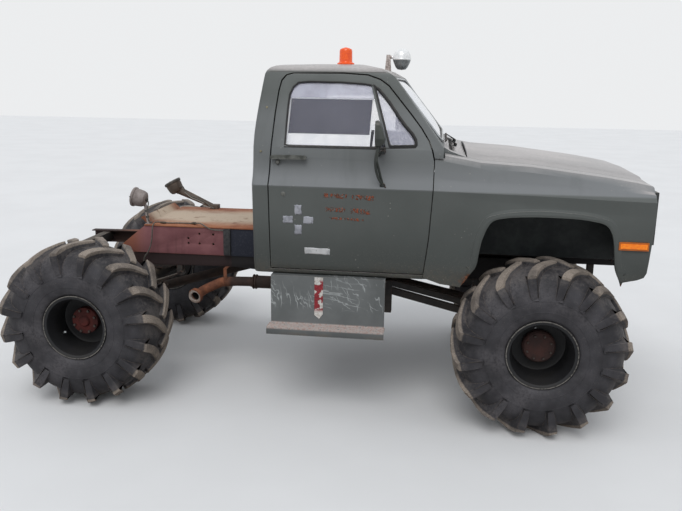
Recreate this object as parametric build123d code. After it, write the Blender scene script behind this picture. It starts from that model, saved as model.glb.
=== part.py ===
from build123d import *
import os
from math import asin, cos, degrees, pi, radians, sin, sqrt, tan

# Lifted off-road pickup: cab and front clip on a chopped frame, on large bar-lug tyres.
# All lengths are millimetres. While drawing, x is measured from the front axle, forward
# positive. y is to the left and z is height over the ground. save() then moves every
# piece by FRONT_AXLE_X, so the finished truck is centred over the origin.

# Driving dimensions
WHEELBASE = 3203
TYRE_R = 588
NOSE_X = 679
FRONT_AXLE_X = (WHEELBASE + TYRE_R - NOSE_X) / 2
REAR_X = -WHEELBASE
AXLE_Z = TYRE_R

# Wheels
WHEEL_MID = 945
LUGS = 16
LUG_HALF = 26
LUG_MIDDLE = 112
LUG_LEAN = 0.66
RIM_LIP_R = 232
KINGPIN_Y = 740
STEER_ARM = 150

# Body
SHEET = 22
CAB_BACK = -1960
CAB_FLOOR = 1060
HOOD_HALF = 760
FLARE_WIDTH = 42
FLARE_PROUD = 9
COWL_X = -530
GAP = 6
DOOR_GAP = 10
DOOR_SKIN = 14

# Frame
RAIL_Y = 430
RAIL_FLANGE = 70
RAIL_WALL = 8


def box(x0, x1, y0, y1, z0, z1):
    return Pos((x0 + x1) / 2, (y0 + y1) / 2, (z0 + z1) / 2) * Box(x1 - x0, y1 - y0, z1 - z0)


def side_prism(points, y0, y1):
    face = Face(Wire.make_polygon([(x, y0, z) for x, z in points], close=True))
    return extrude(face, amount=y1 - y0, dir=(0, 1, 0))


def cross_prism(points, x0, x1):
    face = Face(Wire.make_polygon([(x0, y, z) for y, z in points], close=True))
    return extrude(face, amount=x1 - x0, dir=(1, 0, 0))


def rod(a, b, r):
    a = Vector(*a)
    b = Vector(*b)
    d = b - a
    return Solid.make_cylinder(r, d.length, Plane(origin=a, z_dir=d))


def bar(a, b, wide, high):
    a = Vector(*a)
    b = Vector(*b)
    d = b - a
    side = Vector(0, 0, 1).cross(d)
    if side.length < 1e-6:
        side = Vector(0, 1, 0)
    plane = Plane(origin=a, x_dir=side, z_dir=d)
    return extrude(plane * Rectangle(wide, high), amount=d.length, dir=d.normalized())


def corner_radii(points):
    # For each corner of a line, the radius whose arc uses most of the shorter leg
    radii = []
    for before, corner, after in zip(points, points[1:], points[2:]):
        run_in = Vector(*corner) - Vector(*before)
        run_out = Vector(*after) - Vector(*corner)
        half_turn = radians(run_in.get_angle(run_out) / 2)
        radii.append(0.45 * min(run_in.length, run_out.length) / tan(half_turn))
    return radii


def round_prism(points, y0, y1):
    # A prism whose outline is rounded at all corners but the first and the last
    line = [(x, y0, z) for x, z in points]
    outline = FilletPolyline(*line, radius=corner_radii(line))
    closing = Edge.make_line(line[-1], line[0])
    face = Face(Wire(outline.edges() + [closing]))
    return extrude(face, amount=y1 - y0, dir=(0, 1, 0))


def bent_pipe(points, turn, r, bore):
    path = FilletPolyline(*points, radius=turn)
    start = Plane(origin=points[0], z_dir=Vector(*points[1]) - Vector(*points[0]))
    solid = sweep(start * Circle(r), path=path)
    if bore:
        solid = solid - sweep(start * Circle(bore), path=path)
    return solid


def turned(profile, at, along):
    # A solid of revolution from pairs of radius and distance along the axis
    plane = Plane(origin=at, z_dir=along)
    points = [plane.origin + plane.x_dir * r + plane.z_dir * s for r, s in profile]
    return revolve(Face(Wire.make_polygon(points, close=True)), axis=Axis(at, along),
                   revolution_arc=360)


def other_side(shape):
    return mirror(shape, about=Plane.XZ)


def save(node, *pieces):
    solids = []
    for piece in pieces:
        solids += list((Pos(FRONT_AXLE_X, 0, 0) * piece).solids())
    shape = solids[0] if len(solids) == 1 else Compound(children=solids)
    shape.label = node
    export_step(shape, "parts/" + node + ".step")
    volume = sum(s.volume for s in solids) / 1e9
    box_ = shape.bounding_box()
    print(node, len(solids), "solids", round(volume, 5), "m3",
          [round(v) for v in (*box_.min, *box_.max)], all(s.is_valid for s in solids))


os.makedirs("parts", exist_ok=True)

# Cab section: half width against height, from the rocker up over the crease to the roof
CAB_SECTION = [
    (0, 1000), (930, 1000), (950, 1012), (972, 1085), (992, 1335), (1008, 1604), (1011, 1618),
    (990, 1664), (978, 1694), (970, 1730), (962, 1790), (955, 1868), (790, 2305), (779, 2334),
    (764, 2358), (742, 2377), (712, 2390), (670, 2400), (600, 2409), (300, 2424), (40, 2428),
]
CAB_INSIDE = [
    (0, 1100), (880, 1100), (915, 1335), (930, 1600), (900, 1700), (888, 1860),
    (725, 2310), (690, 2340), (560, 2368), (280, 2386), (0, 2390),
]
# Cab outline from the side, from the rear bottom corner round to the windshield's foot
CAB_SIDE = [
    (CAB_BACK, 1000), (CAB_BACK, 1950), (-1945, 2090), (-1925, 2250), (-1912, 2345),
    (-1902, 2368), (-1885, 2388), (-1858, 2401), (-1820, 2408), (-1520, 2430), (-1300, 2424),
    (-1120, 2388),
    (-1035, 2340), (-690, 1886), (-690, 1010), (-740, 1000),
]
CAB_SIDE_INSIDE = [
    (-1920, 1100), (-1920, 1950), (-1905, 2090), (-1885, 2250), (-1872, 2340),
    (-1800, 2366), (-1520, 2390), (-1300, 2384), (-1140, 2350),
    (-1075, 2306), (-770, 1900), (-740, 1860), (-740, 1100),
]
DOOR = [
    (-1835, 1042), (-1840, 1620), (-1832, 1805), (-1817, 2090), (-1804, 2230), (-1789, 2300),
    (-1760, 2335), (-1716, 2348), (-1373, 2350), (-1212, 2340), (-1128, 2312), (-1070, 2272),
    (-919, 2098), (-843, 2006), (-794, 1932), (-768, 1872), (-750, 1800), (-750, 1618),
    (-768, 1285), (-795, 1042),
]
DOOR_WINDOW = [
    (-1746, 1882), (-1746, 2030), (-1743, 2143), (-1737, 2213), (-1717, 2262), (-1684, 2292),
    (-1611, 2300), (-1398, 2300), (-1247, 2292), (-1187, 2284), (-1134, 2256), (-1068, 2184),
    (-943, 2032), (-885, 1962), (-864, 1925), (-860, 1901), (-873, 1882), (-1041, 1874),
    (-1703, 1872),
]
DIVISION_BAR = [(-1192, 2300), (-1166, 2300), (-1034, 1860), (-1062, 1860)]


def both_sides(half):
    return half + [(-y, z) for y, z in reversed(half) if y]


def grown(points, by):
    cx = sum(p[0] for p in points) / len(points)
    cz = sum(p[1] for p in points) / len(points)
    out = []
    for x, z in points:
        r = sqrt((x - cx) ** 2 + (z - cz) ** 2)
        out.append((x + (x - cx) * by / r, z + (z - cz) * by / r))
    return out


# Cab: a hollow body with its door, windshield and rear window openings cut through
# Its back corners are rounded by stations where the section is a little narrower.
BACK_CORNERS = [(-1960, 26), (-1951, 12), (-1938, 3), (-1920, 0), (-600, 0)]
cab_wires = []
for x, narrower in BACK_CORNERS:
    half = [(max(y - narrower, 0), z) for y, z in CAB_SECTION]
    cab_wires.append(Wire.make_polygon([(x, y, z) for y, z in both_sides(half)], close=True))
cab_outer = Solid.make_loft(cab_wires, ruled=True) & side_prism(CAB_SIDE, -1020, 1020)
cab_hollow = cross_prism(both_sides(CAB_INSIDE), -1990, -600)
cab_hollow = cab_hollow & side_prism(CAB_SIDE_INSIDE, -1020, 1020)
# The doors reach inwards to a leaning plane, and the opening is one gap deeper
DOOR_INSIDE = [(738, 2360), (876, 1900), (913, 1700), (946, 1600), (933, 1335), (913, 1000)]


def door_depth(inwards):
    line = [(inwards - y, z) for y, z in DOOR_INSIDE]
    return cross_prism([(-1030, 1000), (-1030, 1700), (-800, 2360)] + line, -1990, -600)


door_band = door_depth(DOOR_GAP)
door_cut = side_prism(grown(DOOR, DOOR_GAP), -1030, -500) & cross_prism([
    (-1030, 1000), (-1030, 1700), (-800, 2370), (-560, 2370), (-560, 1000),
], -1990, -600)
door_step = side_prism(grown(DOOR, -28), -1030, -500)
windshield_hole = side_prism([
    (-1100, 2284), (-1000, 2354), (-660, 1920), (-800, 1880),
], -690, 690)
rear_window_hole = box(-2000, -1850, -640, 640, 1900, 2240)

cab = cab_outer - cab_hollow
right_opening = door_cut & door_band
cab = cab - right_opening - other_side(right_opening)
cab = cab - (door_step & box(-1990, -600, -1030, -600, 1060, 2360))
cab = cab - other_side(door_step & box(-1990, -600, -1030, -600, 1060, 2360))
cab = cab - windshield_hole - rear_window_hole
cowl_panel = side_prism([
    (-700, 1700), (-700, 1885), (-640, 1850), (COWL_X - GAP, 1816), (COWL_X - GAP, 1790),
    (-680, 1810), (-680, 1700),
], -HOOD_HALF + GAP, HOOD_HALF - GAP)
cab = cab + cowl_panel
cab = cab - box(-1990, -680, -850, 850, 990, CAB_FLOOR)
# Each fender laps over the cab's side, from its top down to the rocker
FENDER_SEAM = [(-748, 1900), (-748, 1618), (-766, 1285), (-793, 1042), (-797, 990)]
fender_room = side_prism(FENDER_SEAM + [(-600, 990), (-600, 1900)], -1030, -925)
fender_room = fender_room & cross_prism([
    (-1030, 990), (-1030, 1820), (-950, 1820), (-925, 1845), (-925, 990),
], -800, -600)
fender_room = fender_room + box(-686, -600, -1030, -740, 990, 1900)
cab = cab - fender_room - other_side(fender_room)
hump = cross_prism([(-170, 1095), (-120, 1190), (120, 1190), (170, 1095)], -1500, -720)
cab = cab + hump
seat_plinth = box(-1680, -1260, -690, 690, 1095, 1205)
cab = cab + seat_plinth
save("cab_shell", cab)

# Windows that stay with the cab
windshield = side_prism([
    (-1046, 2311), (-1038, 2317), (-712, 1915), (-720, 1909),
], -683, 683)
rear_window = side_prism([
    (-1946, 1906), (-1938, 1906), (-1922, 2090), (-1906, 2234), (-1914, 2234), (-1930, 2090),
], -634, 634)
save("cab_windows", windshield, rear_window)

# Doors: an outer skin with a smaller inner panel behind it, so the rear edge swings clear.
# The window is cut through both, and its glass is set in.
skin_line = [(DOOR_SKIN - y, z) for y, z in CAB_SECTION[2:14]]
skin_band = cross_prism([(-1030, 1000), (-930, 1000)] + skin_line + [(-748, 2380), (-1030, 2380)],
                        -1990, -600)
door_solid = cab_outer & side_prism(DOOR, -1030, -500) & skin_band
door_solid = door_solid + (cab_outer & side_prism(grown(DOOR, -9), -1030, -500) & door_depth(0))
door_hole = side_prism(DOOR_WINDOW, -1030, -500) - side_prism(DIVISION_BAR, -1030, -500)
door = door_solid - door_hole
handle = box(-1826, -1592, -1002, -986, 1796, 1814)
handle = handle + box(-1822, -1796, -990, -955, 1798, 1812) + box(-1624, -1600, -990, -955, 1798, 1812)
door = door + handle
glass_band = cross_prism([(-935, 1880), (-772, 2310), (-766, 2310), (-929, 1880)], -1990, -600)
door_glass = side_prism(grown(DOOR_WINDOW, -1), -1030, -500) - side_prism(
    grown(DIVISION_BAR, 1), -1030, -500)
door_glass = door_glass & glass_band
# Mirrors: a bowl with a flat rear face, on two arms from the door
mirror_head = side_prism([
    (-1124, 1898), (-1124, 2060), (-1112, 2063), (-1092, 2040), (-1070, 1985), (-1060, 1950),
    (-1066, 1922), (-1086, 1902), (-1108, 1895),
], -1170, -1030)
mirror_head = mirror_head & cross_prism([
    (-1040, 1925), (-1036, 2035), (-1056, 2062), (-1140, 2063), (-1163, 2036), (-1158, 1950),
    (-1130, 1906), (-1096, 1894), (-1058, 1902),
], -1140, -1040)
mirror_arm = rod((-1078, -992, 1640), (-1114, -1096, 1812), 8)
mirror_arm = mirror_arm + rod((-1114, -1096, 1806), (-1104, -1100, 1915), 8)
mirror_arm = mirror_arm + rod((-1085, -935, 1850), (-1108, -1104, 1872), 8)
save("door_right", door)
save("door_left", other_side(door))
save("door_glass_right", door_glass)
save("door_glass_left", other_side(door_glass))
mirror_all = (mirror_head + mirror_arm) - door_solid
save("mirror_right", mirror_all)
save("mirror_left", other_side(mirror_all))

# Front clip: sections at stations along the fenders. Each row is the station, the height of
# the top line, of the crease and of the top of the light band over the crease.
CLIP_STATIONS = [
    (-800, 1868, 1616, 1690),
    (-744, 1868, 1616, 1690),
    (-450, 1818, 1610, 1674),
    (-120, 1800, 1605, 1666),
    (165, 1768, 1598, 1655),
    (355, 1745, 1592, 1645),
    (545, 1716, 1588, 1635),
    (640, 1698, 1586, 1630),
    (656, 1682, 1584, 1622),
]


def clip_section(x, top, crease, band, inset):
    half = [
        (955, 900), (974, 1085), (990, 1330), (1008, crease - 14), (1011, crease),
        (990, crease + 0.62 * (band - crease)), (978, band),
        (969, band + 0.35 * (top - 54 - band)), (950, top - 54), (915, top - 20),
        (HOOD_HALF, top - 17),
        (590, top - 8), (560, top + 2), (0, top + 13),
    ]
    out = []
    for y, z in half:
        drop = inset if z > band else 0
        out.append((inset - y if y else 0, z - drop))
    return [(x, y, z) for y, z in out + [(-y, z) for y, z in reversed(out) if y]]


def clip_body(inset, x_from, x_to):
    wires = []
    for x, top, crease, band in CLIP_STATIONS:
        if x == CLIP_STATIONS[0][0]:
            x = x_from
        if x == CLIP_STATIONS[-1][0]:
            x = x_to
        wires.append(Wire.make_polygon(clip_section(x, top, crease, band, inset), close=True))
    return Solid.make_loft(wires, ruled=True)


clip_shell = clip_body(0, -800, 656) - clip_body(SHEET, -820, 670)
ARCH = [
    (-564, 880), (-546, 966), (-516, 1004), (-443, 1120), (-436, 1170), (-423, 1283),
    (-390, 1381), (-354, 1437), (-238, 1460), (-46, 1470), (209, 1464), (341, 1441),
    (376, 1417), (405, 1368), (420, 1303), (430, 1226), (443, 1133), (497, 1024),
    (504, 880),
]
FENDER_FOOT = [
    (-810, 880), (-810, 1024), (-790, 1018), (-760, 1008), (-675, 980), (-546, 966), (-530, 880),
]
NOSE_FOOT = [
    (430, 880), (430, 1010), (491, 1021), (500, 1051), (587, 1072), (627, 1090), (642, 1122), (646, 1184),
    (649, 1256), (654, 1363), (656, 1488), (650, 1600), (648, 1700), (700, 1700), (700, 880),
]
# A raised lip runs round each wheel opening
lip_ring = round_prism(grown(ARCH, FLARE_WIDTH), -1100, 1100)
lip_ring = lip_ring & box(-760, 700, -1100, 1100, 1060, 1900)
clip_shell = clip_shell + ((clip_body(-FLARE_PROUD, -800, 656) - clip_body(10, -820, 670)) & lip_ring)
clip_cut = clip_shell - round_prism(ARCH, -1100, 1100)
clip_cut = clip_cut - side_prism(FENDER_FOOT, -1100, 1100) - side_prism(NOSE_FOOT, -1100, 1100)
fender = clip_cut & box(-800, 700, -1100, -HOOD_HALF, 900, 1900)
# Its rear edge runs along the door's front edge
fender_end = [(x + 4, z) for x, z in FENDER_SEAM]
fender = fender - side_prism(fender_end + [(-900, 890), (-900, 1900)], -1100, -700)
fender = fender - box(-760, -680, -932, -700, 1500, 1900)
marker = box(447, 633, -1004, -980, 1272, 1326)
fender = fender - box(446, 634, -1050, -960, 1271, 1327)
save("front_fenders", fender, other_side(fender))

# Hood: the top of the clip between the fenders
hood_top = clip_cut & box(COWL_X, 700, -HOOD_HALF + GAP, HOOD_HALF - GAP, 1500, 1900)
save("hood", hood_top)

# Inner fenders: a wall beside the engine and a shelf under the hood's edge
inner_wall = box(-560, 592, -600, -592, 1120, 1640)
inner_wall = inner_wall + box(-560, 440, -740, -592, 1640, 1648)
save("inner_fenders", inner_wall, other_side(inner_wall))

# Radiator and its support, and the closing panel under the grille
radiator = box(470, 530, -350, 350, 1090, 1620)
radiator = radiator + box(500, 520, -585, 585, 1290, 1330) + box(500, 520, -585, 585, 1590, 1640)
save("radiator", radiator)
valance = box(600, 618, -930, 930, 1100, 1290)
grille_frame = box(652, NOSE_X, -930, 930, 1300, 1640)
grille_frame = grille_frame - box(600, 700, -610, 610, 1325, 1615)
for side in (-1, 1):
    grille_frame = grille_frame - box(600, 700, side * 770 - 125, side * 770 + 125, 1480, 1610)
    grille_frame = grille_frame - box(600, 700, side * 770 - 125, side * 770 + 125, 1335, 1465)
for z in range(1370, 1600, 48):
    grille_frame = grille_frame + box(656, 672, -612, 612, z, z + 8)
for i in range(-6, 7):
    grille_frame = grille_frame + box(656, 672, i * 90 - 4, i * 90 + 4, 1320, 1620)
save("grille", grille_frame, valance)
lamps = []
for side in (-1, 1):
    for z in (1400, 1545):
        lamps.append(box(630, 668, side * 770 - 118, side * 770 + 118, z - 58, z + 58))
save("front_lamps", *lamps, marker, other_side(marker))

# Frame rails: open channels, a little lower under the cab and raised at the nose
RAIL_TOP = [(600, 1180), (240, 1180), (-60, 1055), (-350, 1055), (-700, 1040), (-2000, 1040),
            (-2300, 1100), (-3010, 1100), (-3140, 985), (-3780, 975)]
RAIL_LOW = [(-3780, 870), (-3140, 880), (-2300, 900), (-2000, 880), (-700, 880), (-350, 895),
            (-20, 895), (280, 1040), (600, 1040)]
rail_outer = side_prism(RAIL_TOP + RAIL_LOW, -RAIL_Y, -RAIL_Y + RAIL_FLANGE)
rail_top_in = [(x, z - RAIL_WALL) for x, z in RAIL_TOP]
rail_low_in = [(x, z + RAIL_WALL) for x, z in RAIL_LOW]
rail_top_in[0] = (700, RAIL_TOP[0][1] - RAIL_WALL)
rail_low_in[-1] = (700, RAIL_LOW[-1][1] + RAIL_WALL)
rail_top_in[-1] = (-3800, RAIL_TOP[-1][1] - RAIL_WALL)
rail_low_in[0] = (-3800, RAIL_LOW[0][1] + RAIL_WALL)
rail = rail_outer - side_prism(rail_top_in + rail_low_in, -RAIL_Y + RAIL_WALL, -RAIL_Y + 100)
# The deck's side plate is bolted flat on the rail's outer face
SIDE_PLATE = [(-2000, 985), (-2000, 1195), (-2953, 1195), (-3141, 1042), (-3022, 983)]
PLATE_WALL = 8
PLATE_HOLES = [(-2605, 1110), (-2605, 1070), (-2517, 1146), (-2517, 1070), (-2408, 1146), (-2408, 1070)]
rail = rail + side_prism(SIDE_PLATE, -RAIL_Y - PLATE_WALL, -RAIL_Y)
for x, z in PLATE_HOLES:
    rail = rail - rod((x, -470, z), (x, -410, z), 9)
# An upright bar on the plate's face and a tab under it hold the two ends of the cable
rail = rail + box(-2322, -2270, -460, -RAIL_Y - PLATE_WALL, 993, 1194)
rail = rail + box(-2980, -2940, -488, -RAIL_Y, 892, 900)
save("frame_rail_right", rail)
save("frame_rail_left", other_side(rail))
cross = []
for x, z, tall in ((380, 1110, 120), (-1900, 998, 66), (-2500, 1000, 150), (-3640, 925, 80)):
    reach = RAIL_Y - RAIL_WALL - 1
    cross.append(box(x - 35, x + 35, -reach, reach, z - tall / 2, z + tall / 2))
cross.append(box(-1200, -1100, -RAIL_Y + RAIL_FLANGE, RAIL_Y - RAIL_FLANGE, 700, 735))
save("crossmembers", *cross)

# Rear deck: a steel plate on the side plates, with a short strip bent up at its rear edge
deck = side_prism([
    (-2000, 1196), (-2000, 1204), (-2952, 1204), (-3002, 1250), (-3008, 1244), (-2955, 1196),
], -446, 446)
for side in (-1, 1):
    y0, y1 = sorted((side * 370, side * 460))
    deck = deck - box(-3020, -2953, y0, y1, 1190, 1260)
save("rear_deck", deck)

# The cable is limp and lies free: from the upright over the deck's edge, back along the deck,
# over the edge again and down to the tab on the rail.
CABLE_R = 5
CABLE_ROUTE = [
    (-2322, -454, 1184), (-2366, -454, 1184), (-2420, -459, 1187), (-2466, -462, 1214),
    (-2506, -436, 1230), (-2546, -402, 1222), (-2580, -362, 1212), (-2640, -350, 1210),
    (-2720, -360, 1210), (-2790, -384, 1211), (-2838, -408, 1220), (-2862, -440, 1228),
    (-2874, -468, 1212), (-2878, -478, 1168), (-2882, -478, 1105), (-2896, -476, 1045),
    (-2920, -474, 992), (-2960, -470, 945), (-2960, -470, 900),
]
cable_radii = corner_radii(CABLE_ROUTE)
print("cable radii", [round(r) for r in cable_radii])
cable_path = FilletPolyline(*CABLE_ROUTE, radius=cable_radii)
cable_start = Plane(origin=CABLE_ROUTE[0], z_dir=(-1, 0, 0))
cable = sweep(cable_start * Circle(CABLE_R), path=cable_path)
print("cable length", round(cable_path.length), "mm, volume over section times length",
      round(cable.volume / (pi * CABLE_R ** 2 * cable_path.length), 3))
save("deck_cable", cable)

# Axles: tubes with their gear housings
def axle(x, diff_y, diff_r, tube_r, end_y):
    body = rod((x, -end_y, AXLE_Z), (x, end_y, AXLE_Z), tube_r)
    body = body + Pos(x, diff_y, AXLE_Z) * Sphere(diff_r)
    return body


front_axle = axle(0, -180, 128, 46, 668)
for side in (-1, 1):
    ear_y0, ear_y1 = sorted((side * 660, side * 775))
    for z in (100, -130):
        front_axle = front_axle + box(-45, 45, ear_y0, ear_y1, AXLE_Z + z, AXLE_Z + z + 30)
    web_y0, web_y1 = sorted((side * 655, side * 675))
    front_axle = front_axle + box(-45, 45, web_y0, web_y1, AXLE_Z - 130, AXLE_Z + 130)
    front_axle = front_axle - rod((0, side * KINGPIN_Y, 400), (0, side * KINGPIN_Y, 800), 18.05)
save("front_axle", front_axle)
rear_axle = axle(REAR_X, 0, 165, 55, 800)
for side in (-1, 1):
    rear_axle = rear_axle + rod((REAR_X, side * 790, AXLE_Z), (REAR_X, side * 940, AXLE_Z), 35)
save("rear_axle", rear_axle)

# Steering knuckles with their spindles and arms
knuckle = box(-55, 55, -812, -705, AXLE_Z - 90, AXLE_Z + 90)
knuckle = knuckle + rod((0, -800, AXLE_Z), (0, -940, AXLE_Z), 35)
knuckle = knuckle + rod((0, -KINGPIN_Y, AXLE_Z - 128), (0, -KINGPIN_Y, AXLE_Z + 128), 18)
knuckle = knuckle + box(40, STEER_ARM + 24, -762, -712, AXLE_Z - 60, AXLE_Z - 34)
save("knuckle_right", knuckle)
save("knuckle_left", other_side(knuckle))
tie = rod((STEER_ARM, -738, AXLE_Z - 4), (STEER_ARM, 738, AXLE_Z - 4), 13)
for side in (-1, 1):
    tie = tie + rod((STEER_ARM, side * 738, AXLE_Z - 28), (STEER_ARM, side * 738, AXLE_Z + 16), 20)
save("tie_rod", tie)

# Leaf springs: packs bowed under the rails, hung from them at both ends
def rail_low_at(x):
    for (xa, za), (xb, zb) in zip(RAIL_LOW, RAIL_LOW[1:]):
        if xa <= x <= xb:
            return za + (zb - za) * (x - xa) / (xb - xa)


HANGER = 50
springs = []
for x, reach in ((0, 430), (REAR_X, 540)):
    for side in (-1, 1):
        y0, y1 = sorted((side * (RAIL_Y - 62), side * RAIL_Y))
        bend = 0.56 * reach
        low = [(x - reach, 800), (x - bend, 700), (x, 652), (x + bend, 700), (x + reach, 800)]
        high = [(a, b + 48) for a, b in reversed(low)]
        spring = side_prism(low + high, y0, y1)
        for x0 in (x - reach, x + reach - HANGER):
            hanger_top = min(rail_low_at(x0), rail_low_at(x0 + HANGER)) - 1
            spring = spring + box(x0, x0 + HANGER, y0, y1, 800, hanger_top)
        springs.append(spring)
save("leaf_springs", *springs)

# Shock absorbers
shocks = []
for x in (-190, REAR_X + 150):
    for side in (-1, 1):
        shocks.append(rod((x, side * 556, 640), (x - 40, side * 510, 980), 28))
save("shock_absorbers", *shocks)

# Traction bars: two links a side from a frame bracket forward to the front axle
arms = []
for side in (-1, 1):
    y = side * 475
    bracket = box(-1085, -1025, y - 35, y + 35, 620, 870)
    link = bar((-1050, y, 850), (-130, y, 645), 40, 45) + bar((-1050, y, 790), (-112, y, 565), 40, 50)
    arms.append(bracket + link + rod((-112, y - 22, 596), (-112, y + 22, 596), 55))
save("traction_bars", *arms)

# Engine, gearbox and transfer case as one bolted mass
power = box(-560, 150, -250, 250, 960, 1560)
power = power + box(-1300, -540, -140, 140, 840, 1050) + box(-1650, -1290, -240, 120, 800, 1050)
save("powertrain", power)
shafts = []
shafts.append(rod((-1280, -180, 850), (-136, -180, 610), 32))
shafts.append(rod((-1664, 0, 985), (REAR_X + 178, 0, 585), 38))
save("driveshafts", *shafts)

# Exhaust: a muffler outside the right rail, and a pipe that dips to the rear and turns out
# to the side, with a wider collar round its open end
PIPE_R = 36
PIPE_BORE = 31
muffler = rod((-1500, -530, 815), (-2060, -530, 815), 48)
pipe = bent_pipe([(-2040, -530, 815), (-2200, -520, 808), (-2345, -440, 775), (-2478, -452, 712),
                  (-2516, -556, 689)], 60, PIPE_R, PIPE_BORE)
collar = turned([(PIPE_BORE, 0), (56, 14), (58, 44), (50, 44), (PIPE_BORE, 6)],
                (-2507, -530, 694), (-0.34, -0.92, -0.2))
pipe = pipe + muffler + collar
save("exhaust_pipes", pipe)

# Side steps: a skirt plate under each rocker with a tread at its foot
skirt = box(-1830, -1042, -1000, -994, 655, 1000)
skirt = skirt + box(-1842, -1036, -1100, -994, 651, 657) + box(-1842, -1036, -1100, -1094, 606, 657)
skirt = skirt + box(-1830, -1042, -1000, -905, 993, 999)
save("side_steps", skirt, other_side(skirt))

# Seat, dashboard and steering wheel
seat_base = box(-1700, -1220, -720, 720, 1206, 1460)
seat_back = side_prism([(-1840, 1300), (-1885, 1960), (-1790, 1975), (-1712, 1480), (-1712, 1300)],
                       -720, 720)
save("bench_seat", seat_base, seat_back)
dash = side_prism([(-760, 1640), (-1000, 1640), (-1010, 1790), (-940, 1850), (-760, 1850)],
                  -700, 700)
column = rod((-772, 380, 1422), (-1140, 380, 1698), 28)
save("dashboard", dash - rod((-700, 380, 1368), (-1180, 380, 1728), 30))
wheel_plane = Plane(origin=(-1140, 380, 1698), z_dir=(-0.8, 0, 0.6))
rim_ring = wheel_plane * Torus(190, 13)
spokes = wheel_plane * Box(376, 40, 14)
save("steering_wheel", column + rim_ring + spokes)

# Lamps
beacon = turned([
    (0, 0), (66, 0), (66, 9), (60, 13), (53, 17), (50, 24), (49, 100), (45, 112), (30, 121), (0, 129),
], (-1460, 0, 2431), (0, 0, 1))
save("roof_beacon", beacon)
spot = turned([
    (0, 86), (30, 80), (55, 62), (70, 34), (74, 4), (76, 0), (74, -5), (66, -30), (50, -64),
    (34, -82), (0, -87),
], (-1055, 450, 2491), (0, 0, 1))
spot = spot + rod((-1100, 450, 2505), (-1166, 450, 2505), 13)
spot = spot + side_prism([(-1190, 2403), (-1140, 2393), (-1150, 2524), (-1180, 2524)], 434, 466)
save("roof_spotlight", spot)
# Each work lamp is a cup with a rimmed lens, turned to where it lights
LAMP_CUP = [
    (0, 0), (40, 0), (54, 8), (63, 28), (67, 60), (68, 84), (74, 88), (74, 102), (64, 108), (0, 100),
]
lamp_1 = turned(LAMP_CUP, (-2946, -400, 1392), (-0.98, 0, 0.2))
lamp_1 = lamp_1 + rod((-2936, -400, 1206), (-2956, -400, 1352), 12)
lamp_1 = lamp_1 + box(-2951, -2911, -425, -375, 1205, 1212)
lamp_2 = turned(LAMP_CUP, (-2978, 400, 1338), (-0.5, 0, 0.866))
lamp_2 = lamp_2 + Solid.make_cone(34, 20, 350, Plane(origin=(-2996, 400, 1366), z_dir=(0.92, 0, -0.39)))
lamp_2 = lamp_2 + box(-2680, -2610, 365, 435, 1205, 1240)
save("work_lamps", lamp_1, lamp_2)

# Wheels: deep rims, and tyres whose leaning bars meet in the middle of the tread. The side
# of a bar is a list of pairs: distance from the wheel's middle plane and radius.
RIM_SIDE = [
    (RIM_LIP_R, 223), (RIM_LIP_R, 214), (211, 211), (204, 150), (190, 118), (190, -118),
    (204, -150), (211, -211), (RIM_LIP_R, -214), (RIM_LIP_R, -223), (203, -220),
    (196, -152), (182, -120), (182, -24), (78, -16), (78, -60), (35.05, -60), (35.05, 4),
    (0, 4), (0, 24), (60, 24), (66, 6), (78, -4), (182, -12), (182, 120), (196, 152),
    (203, 220),
]
CARCASS = [
    (215, -205), (240, -209), (430, -248), (548, -170), (548, 170), (430, 248), (240, 209),
    (215, 205), (500, 170), (500, -170),
]
BAR_SIDE = [(250, 385), (250, 540), (115, TYRE_R), (-25, TYRE_R), (-25, 518), (170, 518)]
FLATS = 16


def faceted_ring(profile):
    faces = []
    for k in range(FLATS):
        a0 = radians(360 / FLATS * k)
        a1 = radians(360 / FLATS * (k + 1))
        for (r0, w0), (r1, w1) in zip(profile, profile[1:] + profile[:1]):
            corners = [(r0, w0, a0), (r1, w1, a0), (r1, w1, a1), (r0, w0, a1)]
            faces.append(Face(Wire.make_polygon([(r * sin(a), w, r * cos(a)) for r, w, a in corners],
                                                close=True)))
    return Solid(Shell(faces))


def lean_at(w):
    return (LUG_MIDDLE - w) * LUG_LEAN


def bar_lug(turn, side):
    points = []
    for w, r in BAR_SIDE:
        reach = abs(lean_at(w)) + (LUG_HALF if r == TYRE_R else 0)
        points.append((lean_at(w) - LUG_HALF, w * side, sqrt(r ** 2 - reach ** 2)))
    slab = extrude(Face(Wire.make_polygon(points, close=True)), amount=2 * LUG_HALF, dir=(1, 0, 0))
    return Rot(0, turn, 0) * slab


# One bar's rear corner stands exactly over and under the axle, so the tyre meets the ground
CORNER_TURN = degrees(asin((LUG_HALF - lean_at(115)) / TYRE_R))
bars = []
for k in range(LUGS):
    bars.append(bar_lug(360 / LUGS * k + CORNER_TURN, 1))
    bars.append(bar_lug(360 / LUGS * (k + 0.5) + CORNER_TURN, -1))
tyre = faceted_ring(CARCASS).fuse(*bars)

for name, x, outward in (("front_right", 0, -1), ("front_left", 0, 1),
                         ("rear_right", REAR_X, -1), ("rear_left", REAR_X, 1)):
    y = outward * WHEEL_MID
    points = [(x + r, y + outward * w, AXLE_Z) for r, w in RIM_SIDE]
    rim = revolve(Face(Wire.make_polygon(points, close=True)),
                  axis=Axis((x, y, AXLE_Z), (0, 1, 0)), revolution_arc=360)
    save("rim_" + name, rim)
    save("tyre_" + name, Pos(x, y, AXLE_Z) * tyre)
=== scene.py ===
import bpy
import bmesh
import random
from math import sin, cos, radians, pi, sqrt
from mathutils import Matrix, Vector


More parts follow.
